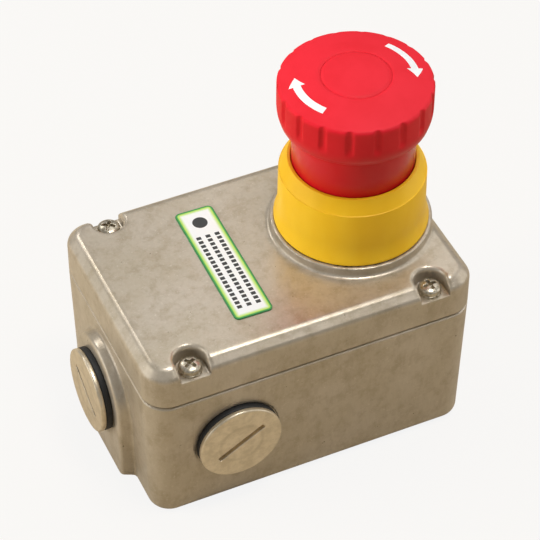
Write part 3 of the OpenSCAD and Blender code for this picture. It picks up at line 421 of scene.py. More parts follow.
# ---------------------------------------------------------------- materials
class Look:
    """A node material under construction, with short calls for the nodes that the looks share."""

    def __init__(self, name, color, metallic=0.0, roughness=0.5, **sockets):
        self.material = bpy.data.materials.new(name)
        self.material.use_nodes = True
        self.tree = self.material.node_tree
        self.shader = self.tree.nodes["Principled BSDF"]
        self.shader.inputs["Base Color"].default_value = (*color, 1)
        self.shader.inputs["Metallic"].default_value = metallic
        self.shader.inputs["Roughness"].default_value = roughness
        for socket, value in sockets.items():
            self.shader.inputs[socket.replace("_", " ")].default_value = value
        coordinates = self.node("ShaderNodeTexCoord").outputs["Object"]
        scaled = self.node("ShaderNodeVectorMath", operation="SCALE")
        scaled.inputs["Scale"].default_value = 1 / MM
        self.tree.links.new(coordinates, scaled.inputs[0])
        self.place = scaled.outputs[0]
        self.height = None

    def node(self, kind, **settings):
        """A new node with these settings."""
        new = self.tree.nodes.new(kind)
        for name, value in settings.items():
            setattr(new, name, value)
        return new

    def put(self, socket, value):
        """Links a socket to another node's output, or sets it to a number or vector."""
        if isinstance(value, bpy.types.NodeSocket):
            self.tree.links.new(value, socket)
        else:
            socket.default_value = value

    def stretched(self, x, y, z):
        """The place, scaled unevenly, for streaks."""
        scale = self.node("ShaderNodeVectorMath", operation="MULTIPLY")
        self.put(scale.inputs[0], self.place)
        self.put(scale.inputs[1], (x, y, z))
        return scale.outputs[0]

    def noise(self, per_mm, detail=3.0, place=None, roughness=0.55):
        """Noise with this many features to the millimetre."""
        texture = self.node("ShaderNodeTexNoise")
        self.put(texture.inputs["Vector"], place or self.place)
        self.put(texture.inputs["Scale"], per_mm)
        self.put(texture.inputs["Detail"], detail)
        self.put(texture.inputs["Roughness"], roughness)
        return texture.outputs["Fac"]

    def math(self, operation, a, b=0.0, c=0.0):
        """One step of arithmetic."""
        step = self.node("ShaderNodeMath", operation=operation)
        for socket, value in zip(step.inputs, (a, b, c)):
            self.put(socket, value)
        return step.outputs[0]

    def spread(self, value, low, high, to_low=0.0, to_high=1.0):
        """Value from low..high, spread over to_low..to_high and held there."""
        change = self.node("ShaderNodeMapRange", interpolation_type="SMOOTHSTEP")
        for socket, number in zip(change.inputs[:5], (value, low, high, to_low, to_high)):
            self.put(socket, number)
        return change.outputs[0]

    def ranged(self, noise, low, high):
        """Noise, which lies mostly in 0.3..0.7, moved to low..high."""
        return self.math("MULTIPLY_ADD", noise, (high - low) / 0.4, low - 0.75 * (high - low))

    def mix(self, amount, a, b):
        """Colour a where amount is 0 and b where it is 1."""
        join = self.node("ShaderNodeMix", data_type="RGBA")
        self.put(join.inputs["Factor"], amount)
        for socket, value in ((join.inputs[6], a), (join.inputs[7], b)):
            self.put(socket, (*value, 1) if isinstance(value, tuple) else value)
        return join.outputs[2]

    def split(self):
        """The place's x, y and z."""
        parts = self.node("ShaderNodeSeparateXYZ")
        self.put(parts.inputs[0], self.place)
        return parts.outputs

    def color(self, value):
        """Sets the base colour."""
        self.put(self.shader.inputs["Base Color"], value)
        return self

    def roughness(self, value):
        """Sets the roughness."""
        self.put(self.shader.inputs["Roughness"], value)
        return self

    def bump(self, height, depth_mm):
        """Adds relief of this depth, in millimetres, on top of what is there."""
        relief = self.node("ShaderNodeBump")
        relief.inputs["Distance"].default_value = depth_mm * MM
        self.put(relief.inputs["Height"], height)
        if self.height:
            self.put(relief.inputs["Normal"], self.height)
        self.height = relief.outputs[0]
        self.put(self.shader.inputs["Normal"], self.height)
        return self


def cast_metal():
    """Tumbled cast stainless steel: satin, mottled and streaked, with small bright and dark specks."""
    look = Look("cast_stainless", (0.5, 0.42, 0.31), metallic=0.58, roughness=0.33)
    cloud = look.spread(look.noise(0.06, 3), 0.3, 0.7)
    stain = look.spread(look.noise(0.2, 6, look.stretched(1, 1, 0.75), roughness=0.72), 0.43, 0.68)
    streak = look.spread(look.noise(0.9, 4, look.stretched(1, 1, 0.25), roughness=0.65), 0.4, 0.7)
    color = look.mix(cloud, (0.5, 0.43, 0.325), (0.55, 0.48, 0.385))
    color = look.mix(look.math("MULTIPLY", stain, 0.42), color, (0.3, 0.23, 0.135))
    color = look.mix(look.math("MULTIPLY", streak, 0.11), color, (0.26, 0.2, 0.12))
    bright = look.spread(look.noise(1.6, 3), 0.6, 0.76)
    dark = look.spread(look.noise(1.1, 4), 0.4, 0.22)
    color = look.mix(look.math("MULTIPLY", bright, 0.3), color, (0.8, 0.74, 0.64))
    color = look.mix(look.math("MULTIPLY", dark, 0.16), color, (0.12, 0.09, 0.055))
    look.color(color).roughness(look.ranged(look.noise(0.5, 4), 0.28, 0.38))
    look.bump(look.noise(0.45, 3), 0.015).bump(look.noise(1.8, 4), 0.012)
    return look.material


def turned_metal():
    """Machined stainless steel with fine rings about its own axis, and a dark ring painted on the face as the
    shade of a step.
    """
    look = Look("plug_steel", (0.55, 0.46, 0.33), metallic=0.8, roughness=0.34)
    x, y, z = look.split()
    radius = look.math("SQRT", look.math("ADD", look.math("MULTIPLY", x, x), look.math("MULTIPLY", y, y)))
    rings = look.math("SINE", look.math("MULTIPLY", radius, 14.0))
    worn = look.spread(look.noise(0.3, 5, roughness=0.65), 0.35, 0.65)
    # Painted shade: a dark ring at 6 mm radius on the face, standing in for the shade of a step there.
    step = look.spread(look.math("ABSOLUTE", look.math("SUBTRACT", radius, 6)), 0.15, 0.7, 1, 0)
    color = look.mix(worn, (0.76, 0.66, 0.5), (0.62, 0.53, 0.39))
    color = look.mix(look.math("MULTIPLY", step, 0.18), color, (0.32, 0.26, 0.17))
    look.color(color).roughness(look.ranged(look.noise(0.8, 3), 0.3, 0.4))
    look.bump(rings, 0.003).bump(look.noise(1.6, 3), 0.01)
    return look.material


def bright_steel():
    """Steel of the screws, with light handling marks."""
    look = Look("screw_steel", (0.5, 0.47, 0.41), metallic=0.9, roughness=0.3)
    marks_on = look.spread(look.noise(1.3, 4), 0.4, 0.7)
    look.color(look.mix(marks_on, (0.56, 0.5, 0.4), (0.3, 0.26, 0.18)))
    look.roughness(look.ranged(look.noise(2.5, 3), 0.26, 0.38))
    look.bump(look.noise(3, 2), 0.008)
    return look.material


def red_plastic():
    """Moulded red plastic: a finely textured top and side, and a smoother neck. Its colour carries painted
    light and shade: the dome is painted a lighter red than the side, and the neck a darker red than the side.
    """
    look = Look("red_plastic", (0.72, 0.02, 0.035), roughness=0.42, Specular_IOR_Level=0.25)
    tone = look.spread(look.noise(0.1, 3), 0.35, 0.65)
    height = look.split()[2]
    # Painted light: above the rim the dome gets a lighter red than the side, as if lit from above.
    top = look.spread(height, RIM_Z - 1, RIM_Z + 0.6)
    dome = look.mix(tone, (0.8, 0.012, 0.025), (0.84, 0.016, 0.032))
    # Painted shade: the side is a darker red than the dome, and the neck below the lip is darker again, as in
    # the shade under the head. The same mask also sets the side's texture.
    texture_and_neck_shade = look.spread(height, LIP_Z - 1, SIDE_Z)
    side = look.mix(texture_and_neck_shade, (0.68, 0.01, 0.016), look.mix(tone, (0.71, 0.01, 0.018), (0.75, 0.013, 0.022)))
    look.color(look.mix(top, side, dome))
    fine = look.noise(5, 2)
    look.roughness(look.math("ADD", look.math("MULTIPLY", texture_and_neck_shade, 0.3), look.ranged(fine, 0.21, 0.27)))
    look.bump(look.math("MULTIPLY", fine, texture_and_neck_shade), 0.012).bump(look.noise(0.4, 2), 0.02)
    return look.material


def yellow_plastic():
    """Moulded yellow plastic with faint flow marks."""
    look = Look("yellow_plastic", (0.85, 0.5, 0.02), roughness=0.42, Specular_IOR_Level=0.3)
    flow = look.spread(look.noise(0.15, 3, look.stretched(1, 1, 0.35)), 0.35, 0.65)
    look.color(look.mix(flow, (0.95, 0.55, 0.014), (0.97, 0.58, 0.02)))
    look.roughness(look.ranged(look.noise(1.5, 3), 0.38, 0.46))
    look.bump(look.noise(0.3, 3), 0.02).bump(look.noise(4, 2), 0.006)
    return look.material


def plain(name, color, roughness, metallic=0.0, grain=2.0, depth=0.01, shade=0.8):
    """A material with light grain, for rubber, print and the pieces inside."""
    look = Look(name, color, metallic, roughness)
    darker = tuple(shade * c for c in color)
    look.color(look.mix(look.spread(look.noise(grain / 4, 3), 0.35, 0.65), color, darker))
    look.roughness(look.ranged(look.noise(grain, 3), roughness - 0.05, roughness + 0.05))
    look.bump(look.noise(grain * 1.5, 2), depth)
    return look.material


def printed_label():
    """White film with a green border that fades inwards, and a plain disc and dashes in place of print."""
    look = Look("label_film", (0.9, 0.9, 0.88), roughness=0.32, Specular_IOR_Level=0.5)
    across, along, _ = look.split()
    past_across = look.math("SUBTRACT", look.math("ABSOLUTE", across), LABEL_W / 2 - LABEL_R)
    past_along = look.math("SUBTRACT", look.math("ABSOLUTE", along), LABEL_L / 2 - LABEL_R)
    kept = [look.math("POWER", look.math("MAXIMUM", past, 0.0), 2.0) for past in (past_across, past_along)]
    inside = look.math("MINIMUM", look.math("MAXIMUM", past_across, past_along), 0.0)
    edge = look.math("SUBTRACT", LABEL_R, look.math("ADD", look.math("SQRT", look.math("ADD", *kept)), inside))
    color = look.mix(look.spread(edge, 0.7, 1.8), (0.5, 0.75, 0.12), (0.87, 0.89, 0.88))
    color = look.mix(look.spread(edge, 0.4, 0.8), (0.05, 0.36, 0.07), color)
    color = look.mix(look.spread(edge, 0.15, 0.4), (0.02, 0.2, 0.05), color)
    from_disc = look.math("SUBTRACT", along, DISC_PLACE)
    squares = [look.math("POWER", part, 2.0) for part in (across, from_disc)]
    from_disc = look.math("SQRT", look.math("ADD", *squares))
    ink = look.spread(from_disc, DISC_R, DISC_R - DISC_SOFT, 0.0, INK)
    printed = look.math("COMPARE", along, (ROWS_START + ROWS_END) / 2, (ROWS_END - ROWS_START) / 2)
    dash = look.math("LESS_THAN", look.math("FRACT", look.math("DIVIDE", along, DASH_PITCH)), DASH_SHARE)
    for place in ROW_PLACES:
        row = look.math("MULTIPLY", look.math("COMPARE", across, place, ROW_HALF_H), printed)
        ink = look.math("MAXIMUM", ink, look.math("MULTIPLY", look.math("MULTIPLY", row, dash), INK))
    look.color(look.mix(ink, color, (0.012, 0.014, 0.012)))
    look.roughness(look.ranged(look.noise(0.8, 3), 0.28, 0.38))
    look.bump(look.noise(0.3, 2), 0.02)
    return look.material


# ---------------------------------------------------------------- pieces
def dressed(piece, look, body, slot, *nodes):
    """Gives a piece its material and its body, and hides the CAD nodes that it stands for. The slot argument
    is not used.
    """
    piece.data.materials.clear()
    piece.data.materials.append(look)
    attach(piece, body)
    if nodes:
        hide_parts(*nodes)
    return piece


def cut(piece, *tools):
    """Takes closed meshes out of a piece and removes them."""
    for tool in tools:
        change = piece.modifiers.new("cut", "BOOLEAN")
        change.operation, change.solver, change.object = "DIFFERENCE", "EXACT", tool
    bpy.context.view_layer.update()
    result = bpy.data.meshes.new_from_object(piece.evaluated_get(bpy.context.evaluated_depsgraph_get()))
    piece.modifiers.clear()
    piece.data = result
    for tool in tools:
        bpy.data.objects.remove(tool)
    piece.data.set_sharp_from_angle(angle=math.radians(50))
    return piece


def hollow_field(x, y, z, floor, roof, posts_from):
    """The inside of a casting, stepped in round the fixing holes, and round the lid screws above the
    height posts_from."""
    inner = rounded_rect(x, y, BOX_L - 2 * WALL, BOX_W - 2 * WALL, CORNER_R - WALL)
    posts = np.hypot(np.abs(x) - SCREW_X, np.abs(y) - SCREW_Y) - SCREW_BOSS_R
    notched = without(inner, posts, POST_R)
    inner = np.where(z > posts_from, notched, inner)
    pillars = np.hypot(np.abs(x) - FIXING_X, np.abs(y) - FIXING_Y) - PILLAR_R
    inner = without(inner, both(pillars, z - FIXING_DEPTH - PILLAR_CAP), POST_R)
    return both(both(inner, floor - z, HOLLOW_R), z - roof, HOLLOW_R)


def hollow(name, floor, roof, posts_from):
    """Closed mesh of a casting's inside, to cut it with."""
    step = 1.5
    axes = [np.arange(-BOX_L / 2, BOX_L / 2 + step, step), np.arange(-BOX_W / 2, BOX_W / 2 + step, step),
            np.arange(floor - 2, roof + 3, step)]
    return field_mesh(name, lambda x, y, z: hollow_field(x, y, z, floor, roof, posts_from), axes)


def make_body(look):
    """The body casting, hollow, with its arched pad and its three entries. Its grid is closer at the
    ends, round the entries, at the foot and closest under the parting."""
    end, side = BOX_L / 2, BOX_W / 2
    ends = (-end - 5, -35), (35, end + 2)
    x = marks(BODY_LOW[0] - 1, end + 1, 1.1, *ends, (ENTRY_X - 13, ENTRY_X + 13), fine=0.5)
    y = marks(-side - 1, side + 1, 0.7, (-side - 1, -19), (19, side + 1), fine=0.5)
    z = marks(-1, PARTING_Z + 1, 0.6, (-1, 4), fine=0.45)
    near_parting = np.arange(PARTING_Z - 1.5, PARTING_Z + 1, 0.12)
    z = np.unique(np.concatenate([z[z < near_parting[0]], near_parting]))
    piece = field_mesh("cast_body", body_field, (x, y, z))
    cut(piece, hollow("body_hollow", FLOOR_T, PARTING_Z + 3, PARTING_Z - 7.6))
    return dressed(piece, look, "enclosure", "cast_stainless", "enclosure_body")


def make_lid(look):
    """The lid casting, hollow underneath, with its boss and screw pockets. Its grid is closer at the
    pockets, the parting and the boss's top."""
    end, side = BOX_L / 2, BOX_W / 2
    x = marks(-end - 1, end + 1, 0.6, (-end - 1, -26), (26, end + 1), fine=0.45)
    y = marks(-side - 1, side + 1, 0.6, (-side - 1, -21), (21, side + 1), fine=0.45)
    levels = (0, PARTING_Z + 1), (BOSS_TOP_Z - 0.4, BOSS_TOP_Z + 2)
    z = marks(PARTING_Z - 0.52, BOSS_TOP_Z + 1.1, 0.3, *levels, fine=0.13)
    piece = field_mesh("cast_lid", lid_field, (x, y, z))
    cut(piece, hollow("lid_hollow", PARTING_Z - 3, LID_TOP_Z - LID_T, PARTING_Z - 9))
    return dressed(piece, look, "enclosure", "cast_stainless", "enclosure_lid")


def make_gasket(look):
    """The rubber ring between the castings, set back from the outside."""
    def ring(x, y, z):
        length, width = (size - 2 * WALL + 2 * GASKET_OUT for size in (BOX_L, BOX_W))
        middle = rounded_rect(x, y, length, width, CORNER_R - WALL + GASKET_OUT)
        return both(np.abs(middle) - GASKET_HALF_W, np.abs(z - PARTING_Z + GASKET_DROP) - GASKET_HALF_H, 0.2)

    levels = np.arange(PARTING_Z - 2, PARTING_Z + 0.6, 0.35)
    piece = field_mesh("lid_seal_ring", ring, [np.arange(-48, 48.5, 0.5), np.arange(-33, 33.5, 0.5), levels])
    return dressed(piece, look, "enclosure", "black_rubber", "lid_gasket")


def copies(source, name, places):
    """One piece of this mesh at each place, joined into one object."""
    work = bmesh.new()
    for place in places:
        part = source.data.copy()
        part.transform(place)
        work.from_mesh(part)
        bpy.data.meshes.remove(part)
    mesh = bpy.data.meshes.new(name)
    work.to_mesh(mesh)
    work.free()
    bpy.data.objects.remove(source)
    return add_object(name, mesh)


def at_screws(z, *angles):
    """A place at each lid screw, turned by its own angle."""
    places = []
    for (sx, sy), angle in zip(itertools.product((-1, 1), repeat=2), angles or (0,) * 4):
        place = Matrix.Translation(Vector((sx * SCREW_X, sy * SCREW_Y, z)) * MM)
        places.append(place @ Matrix.Rotation(math.radians(angle), 4, "Z"))
    return places


def make_screws(look):
    """Four pan-headed lid screws with cross recesses, their shanks and washers."""
    reach = np.arange(-3.4, 3.5, 0.13)
    height = SCREW_HIGH[2] - WASHER_HIGH[2]
    head = field_mesh("pan_head", screw_field, (reach, reach, np.arange(-0.3, height + 0.4, 0.13)))
    heads = copies(head, "lid_screw_heads", at_screws(WASHER_HIGH[2], 10, 38, -14, 62))
    dressed(heads, look, "enclosure", "screw_steel", "lid_screws")
    length = WASHER_HIGH[2] - SCREW_LOW[2]
    threads = [(SCREW_R - THREAD_DEPTH * (i % 2), -length + 1 + THREAD_PITCH / 2 * i)
               for i in range(int((length - 4) / THREAD_PITCH * 2))]
    profile = [(0, -length), (SCREW_R - 0.5, -length), *threads, (SCREW_R, 0.1), (0, 0.1)]
    shank = turned("shank", profile, 24, (0, 0), sharp_angle=40)
    shanks = copies(shank, "lid_screw_shanks", at_screws(WASHER_HIGH[2]))
    dressed(shanks, look, "enclosure", "screw_steel")
    rim = [(WASHER_R, 0), *arc((WASHER_R - 0.2, WASHER_T - 0.2), 0.2, 0, 90, 3), (SCREW_R + 0.05, WASHER_T)]
    washer = turned("washer", [*rim, (SCREW_R + 0.05, 0)], 64, (0, 0), sharp_angle=60)
    washers = copies(washer, "lid_screw_rings", at_screws(WASHER_LOW[2]))
    return dressed(washers, look, "enclosure", "screw_steel", "lid_screw_washers")


def make_plug(name, node, seal_node, place, angle, look, rubber):
    """A stopping plug and its seal, made upright and stood in their entry. Its mesh keeps its own
    axis, so that the machining rings run round it."""
    reach = np.arange(-PLUG_R - 0.6, PLUG_R + 0.7, 0.3)
    up = np.concatenate([np.arange(-9.6, -1, 0.6), np.arange(-0.7, PLUG_SEAL_T + PLUG_T + 0.6, 0.22)])
    plug = field_mesh(name, lambda x, y, z: plug_field(x, y, z, angle), (reach, reach, up))
    r, top = PLUG_R - 0.35, PLUG_SEAL_T
    bulge = arc((r, 0.3), 0.3, -90, 0, 3) + arc((r, top - 0.3), 0.3, 0, 90, 3)
    seal = turned(f"{name}_seal", [(ENTRY_R, 0), *bulge, (ENTRY_R, top)], 96, (0, 0), sharp_angle=60)
    plug.matrix_world = place
    seal.matrix_world = place
    dressed(plug, look, "enclosure", "plug_steel", node)
    dressed(seal, rubber, "enclosure", "black_rubber", seal_node)


def make_plugs(look, rubber):
    """The three stopping plugs: one in the left end and one in each long side."""
    left = Matrix.Translation(Vector((BODY_LOW[0], 0, ENTRY_Z)) * MM) @ Matrix.Rotation(-math.pi / 2, 4, "Y")
    make_plug("plug_left", "left_entry_plug", "left_plug_seal", left, 60, look, rubber)
    for name, side, angle in (("front", -1, 31), ("back", 1, 20)):
        place = Matrix.Translation(Vector((ENTRY_X, side * SPOT_Y, ENTRY_Z)) * MM)
        place = place @ Matrix.Rotation(-side * math.pi / 2, 4, "X")
        make_plug(f"plug_{name}", f"{name}_entry_plug", f"{name}_plug_seal", place, angle, look, rubber)


def make_label():
    """The printed film on the lid, with its corners rounded and its edge softened."""
    low, high = LABEL_LOW, LABEL_HIGH
    thick = high[2] - low[2]
    middle = Vector(((low + high) / 2).tolist()) * MM
    middle.z = low[2] * MM
    outline = []
    for sx, sy, start in ((1, 1, 0), (-1, 1, 90), (-1, -1, 180), (1, -1, 270)):
        centre = (sx * (LABEL_W / 2 - LABEL_R), sy * (LABEL_L / 2 - LABEL_R))
        outline += arc(centre, LABEL_R, start, start + 90, 8)
    rows = [(0, 0), (0, thick - LABEL_EDGE), (LABEL_EDGE, thick)]
    points = []
    for inset, z in rows:
        shrink = np.array([1 - 2 * inset / LABEL_W, 1 - 2 * inset / LABEL_L])
        points += [(*(np.array(p) * shrink), z) for p in outline]
    count, top = len(outline), (len(rows) - 1) * len(outline)
    faces = []
    for row, i in itertools.product(range(len(rows) - 1), range(count)):
        a, b = row * count, (row + 1) * count
        k = (i + 1) % count
        faces.append((a + i, a + k, b + k, b + i))
    faces += [tuple(reversed(range(count))), tuple(range(top, top + count))]
    piece = mm_mesh("label_film", points, faces, 30)
    piece.matrix_world = Matrix.Translation(middle) @ Matrix.Rotation(math.radians(LABEL_TURN), 4, "Z")
    return dressed(piece, printed_label(), "enclosure", "label_film", "lid_label")


def make_collar(look, rubber):
    """The yellow collar, its edges softened, and the thin seal under it."""
    low, high = COLLAR_LOW[2], COLLAR_HIGH[2]
    bore_r, lip_r = NECK_R + NECK_GAP / 4, NECK_R + NECK_GAP + COLLAR_LIP_W
    knee_r, knee_z = COLLAR_KNEE_R, high - COLLAR_KNEE_H
    foot = arc((COLLAR_FOOT_R - 0.3, low + 0.3), 0.3, -90, 0, 3)
    bend = (COLLAR_FOOT_R, low + 0.5), (COLLAR_SIDE_R, low + 3), (COLLAR_SIDE_R, low + 6)
    spread = [curve(*bend, t) for t in np.linspace(0, 1, 9)]
    knee = [(knee_r + 0.16, knee_z - 0.2), (knee_r + 0.1, knee_z),
            (knee_r - 0.08, knee_z + 0.06), (knee_r - 0.22, knee_z + 0.2)]
    lip = [(lip_r + 0.12, high - 0.25), (lip_r - 0.1, high - 0.04), (bore_r + 0.2, high), (bore_r, high - 0.2)]
    profile = [(HOLE_R, low), *foot, *spread, *knee, *lip, (bore_r, FLANGE_Z), (HOLE_R, FLANGE_Z)]
    collar = turned("collar_yellow", profile, 144, sharp_angle=40)
    dressed(collar, look, "enclosure", "yellow_plastic", "yellow_collar")
    ring = [(HOLE_R, SEAL_LOW[2]), (SEAL_R, SEAL_LOW[2]), (SEAL_R, SEAL_HIGH[2]), (HOLE_R, SEAL_HIGH[2])]
    seal = turned("collar_gasket", ring, 96, sharp_angle=60)
    return dressed(seal, rubber, "enclosure", "black_rubber", "collar_seal")


def dome_z(r):
    """Height of the head's top at a distance from its axis. It dips gently where the cap's edge is."""
    dip = CAP_DIP * math.exp(-((r - CAP_R) / CAP_DIP_W) ** 2)
    return CAP_HIGH[2] - DOME_R + math.sqrt(DOME_R ** 2 - r ** 2) - dip


def flute(r, z, angle):
    """How far the head's side is cut back by its flutes, with soft edges."""
    pitch = 2 * math.pi / FLUTES
    off = (angle + pitch / 2) % pitch - pitch / 2
    across = np.abs(r * np.sin(off))
    centre = HEAD_R + FLUTE_R - FLUTE_DEPTH
    floor = centre - np.sqrt(np.maximum(FLUTE_R ** 2 - across ** 2, 0))
    excess = r - floor
    depth = (excess + np.sqrt(excess ** 2 + FLUTE_SOFT ** 2)) / 2
    depth = np.maximum(depth - FLUTE_SOFT ** 2 / 2, 0)
    height = np.clip((z - SIDE_Z + FLUTE_BELOW) / FLUTE_FADE, 0, 1)
    fade = height * height * (3 - 2 * height)
    return np.where(r > NECK_R + 0.5, -depth * fade, 0)


def make_head(look):
    """The red head: neck, lip, fluted side, domed top with a groove round its cap, and the cap."""
    low = NECK_Z
    neck_in, lip_r = NECK_R - NECK_WALL, HEAD_R - LIP_IN
    steps = np.linspace(0, 1, 9)
    under = [curve((NECK_R, UNDER_Z), (NECK_R, LIP_Z), (lip_r - 0.5, LIP_Z), t) for t in steps]
    foot = arc((lip_r - 0.5, LIP_Z + 0.5), 0.5, -70, 0, 4)
    lip = [curve((lip_r, LIP_Z + 0.6), (HEAD_R, LIP_Z + LIP_H / 2), (HEAD_R, SIDE_Z), t) for t in steps]
    rim = arc((HEAD_R - RIM_R, RIM_Z), RIM_R, 0, 75, 8)
    far = [*np.linspace(HEAD_R - RIM_R - 0.1, CAP_R + 1.4, 14), *np.linspace(CAP_R + 1.2, CAP_R + 0.1, 10)]
    dome = [(r, dome_z(r)) for r in far]
    seat_r, cap_low = CAP_R + CAP_GAP, CAP_LOW[2]
    groove = [(seat_r, dome_z(CAP_R) - 0.06), (seat_r, dome_z(CAP_R) - 0.5)]
    foot_edge = [(neck_in, low), (NECK_R - 0.3, low), (NECK_R, low + 0.3)]
    outside = [*foot_edge, *under, *foot, *lip, *rim, *dome, *groove]
    pocket_z = cap_low - CAP_POCKET_H
    inside = [(seat_r, cap_low), (CAP_POCKET_R, cap_low), (CAP_POCKET_R, pocket_z), (HEAD_SCREW_R, pocket_z),
              (HEAD_SCREW_R, WEB_Z), (HUB_IN_R, WEB_Z), (HUB_IN_R, HUB_LOW), (HUB_R, HUB_LOW), (HUB_R, WEB_Z),
              (neck_in, WEB_Z)]
    line = outside[:4] + fine_line(outside[3:], 0.5)[1:] + inside
    head = turned("head_red", line, FLUTES * 24, radius_change=flute, sharp_angle=45)
    dressed(head, look, "head", "red_plastic", "mushroom_head")
    near = [*np.linspace(CAP_R - 0.1, CAP_R - 1.2, 10), *np.linspace(CAP_R - 1.4, 1, 8)]
    top = [(r, dome_z(r)) for r in near]
    edge = [(CAP_R, dome_z(CAP_R) - 0.5), (CAP_R, dome_z(CAP_R) - 0.06)]
    profile = [(0, cap_low), (CAP_R, cap_low), *edge, *top, (0, CAP_HIGH[2])]
    cap = turned("head_disc", profile, 144, sharp_angle=50)
    return dressed(cap, look, "head", "red_plastic", "head_cap")


def coil(outer_r, wire_r, turns, height):
    """A coil spring that stands on z = 0."""
    steps, sides = 32 * turns, 10
    points = []
    for i, j in itertools.product(range(steps + 1), range(sides)):
        a, b = 2 * math.pi * turns * i / steps, 2 * math.pi * j / sides
        r = outer_r - wire_r + wire_r * math.cos(b)
        rise = wire_r + (height - 2 * wire_r) * i / steps
        points.append((r * math.cos(a), r * math.sin(a), rise + wire_r * math.sin(b)))
    faces = []
    for i, j in itertools.product(range(steps), range(sides)):
        a, b, k = i * sides, (i + 1) * sides, (j + 1) % sides
        faces.append((a + j, a + k, b + k, b + j))
    faces += [tuple(range(sides)), tuple(range(steps * sides, (steps + 1) * sides))]
    spring = mm_mesh("coil", points, faces, 50)
    face_outwards(spring)
    return spring


# Radius of each coil's wire, and their turns
WIRE_R = {"return_spring": 0.5, "nc_springs": 0.22, "no_spring": 0.22}
COIL_TURNS = 4


def make_springs(look):
    """The coil springs inside, standing on their fixed ends."""
    for joint in frame["joints"]:
        for deforming in joint.get("deforming_nodes", []):
            node = deforming["node"]
            low, high = box_mm(node)
            foot = deforming["fixed_end_z_m"] / MM
            height = high[2] + low[2] - 2 * foot
            outer_r, y = (high[1] - low[1]) / 2, (low[1] + high[1]) / 2
            across = sorted({round(low[0] + outer_r, 2), round(high[0] - outer_r, 2)})
            places = [Matrix.Translation(Vector((x, y, foot)) * MM) for x in across]
            springs = copies(coil(outer_r, WIRE_R[node], COIL_TURNS, height), f"coil_{node}", places)
            dressed(springs, look, joint["parent"], "spring_steel", node)
            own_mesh(springs)


def make_arrows(look):
    """Two printed arrows on the dome, half a turn apart, that point clockwise."""
    middle_r, drift, half_band, half_head = 15.1, 0.3, 0.97, 2.1
    tail, neck, tip = 33, -11, -23.5  # degrees round the dome
    lift, thick = 0.012, 0.05
    for name, turn in (("front", 180), ("back", 0)):
        rows = [(a, half_band) for a in np.linspace(tail, neck, 24)]
        rows += [(a, half_head * (a - tip) / (neck - tip)) for a in np.linspace(neck, tip + 0.2, 12)]
        points, across = [], 6
        for level in (lift, lift - thick):
            for angle, half in rows:
                for i in range(across + 1):
                    r = middle_r + drift * (tail - angle) / (tail - tip) + half * (2 * i / across - 1)
                    a = math.radians(angle + turn)
                    points.append((AXIS[0] + r * math.cos(a), AXIS[1] + r * math.sin(a), dome_z(r) + level))
        wide, count = across + 1, len(rows) * (across + 1)
        faces = []
        for j in range(len(rows) - 1):
            for i in range(across):
                a, b = j * wide + i, (j + 1) * wide + i
                faces += [(a, a + 1, b + 1, b), (count + a, count + b, count + b + 1, count + a + 1)]
        loop = list(range(wide)) + [j * wide + across for j in range(1, len(rows))]
        loop += [(len(rows) - 1) * wide + i for i in range(across - 1, -1, -1)]
        loop += [j * wide for j in range(len(rows) - 2, 0, -1)]
        faces += [(a, count + a, count + b, b) for a, b in zip(loop, loop[1:] + loop[:1])]
        arrow = mm_mesh(f"arrow_{name}", points, faces, 30)
        face_outwards(arrow)
        dressed(arrow, look, "head", "white_plastic")


# Colour, roughness and metal of the slots that only need grain
PLAIN_LOOKS = {
    "spring_steel": ((0.6, 0.61, 0.62), 0.3, 1.0),
    "brass": ((0.78, 0.6, 0.28), 0.3, 1.0),
    "white_plastic": ((0.86, 0.86, 0.82), 0.45, 0.0),
    "grey_plastic": ((0.32, 0.33, 0.34), 0.5, 0.0),
    "black_plastic": ((0.04, 0.04, 0.04), 0.5, 0.0),
    "dark_red_plastic": ((0.4, 0.04, 0.03), 0.5, 0.0),
    "green_plastic": ((0.05, 0.33, 0.15), 0.5, 0.0),
}


def dress_cad(looks):
    """Gives every CAD node a material for its slot."""
    for subpart in frame["record"]["subparts"]:
        node = frame["nodes"][subpart["node"]]
        node.data.materials.clear()
        node.data.materials.append(looks[subpart["material_slot"]])


# ---------------------------------------------------------------- camera, floor and light
def make_camera():
    """The photograph's viewing angle, from the fit of the box's edges."""
    azimuth, elevation, roll = (math.radians(a) for a in (-24.87, 44.82, 0.39))
    away = math.cos(elevation)
    back = Vector((math.sin(azimuth) * away, -math.cos(azimuth) * away, math.sin(elevation)))
    level = Vector((math.cos(azimuth), math.sin(azimuth), 0))
    rise = back.cross(level)
    right = math.cos(roll) * level + math.sin(roll) * rise
    up = math.cos(roll) * rise - math.sin(roll) * level
    to_right, to_top, distance = 0.76, 3.5, 662.8
    spot = to_right * right + to_top * up + distance * back + Vector((0, 0, PARTING_Z))
    data = bpy.data.cameras.new("camera")
    data.sensor_width = 36
    data.lens = 166.72
    data.clip_end = 20
    camera = bpy.data.objects.new("camera", data)
    camera.matrix_world = Matrix.Translation(spot * MM) @ Matrix((right, up, back)).transposed().to_4x4()
    bpy.context.scene.collection.objects.link(camera)
    bpy.context.scene.camera = camera


def ray_share(tree, camera, glossy):
    """A number that is camera for camera rays, glossy for glossy rays, and 0 for the others."""
    path = tree.nodes.new("ShaderNodeLightPath")
    total = tree.nodes.new("ShaderNodeMath")
    total.operation = "MAXIMUM"
    for name, share, socket in (("Is Camera Ray", camera, 0), ("Is Glossy Ray", glossy, 1)):
        part = tree.nodes.new("ShaderNodeMath")
        part.operation = "MULTIPLY"
        part.inputs[1].default_value = share
        tree.links.new(path.outputs[name], part.inputs[0])
        tree.links.new(part.outputs[0], total.inputs[socket])
    return total.outputs[0]


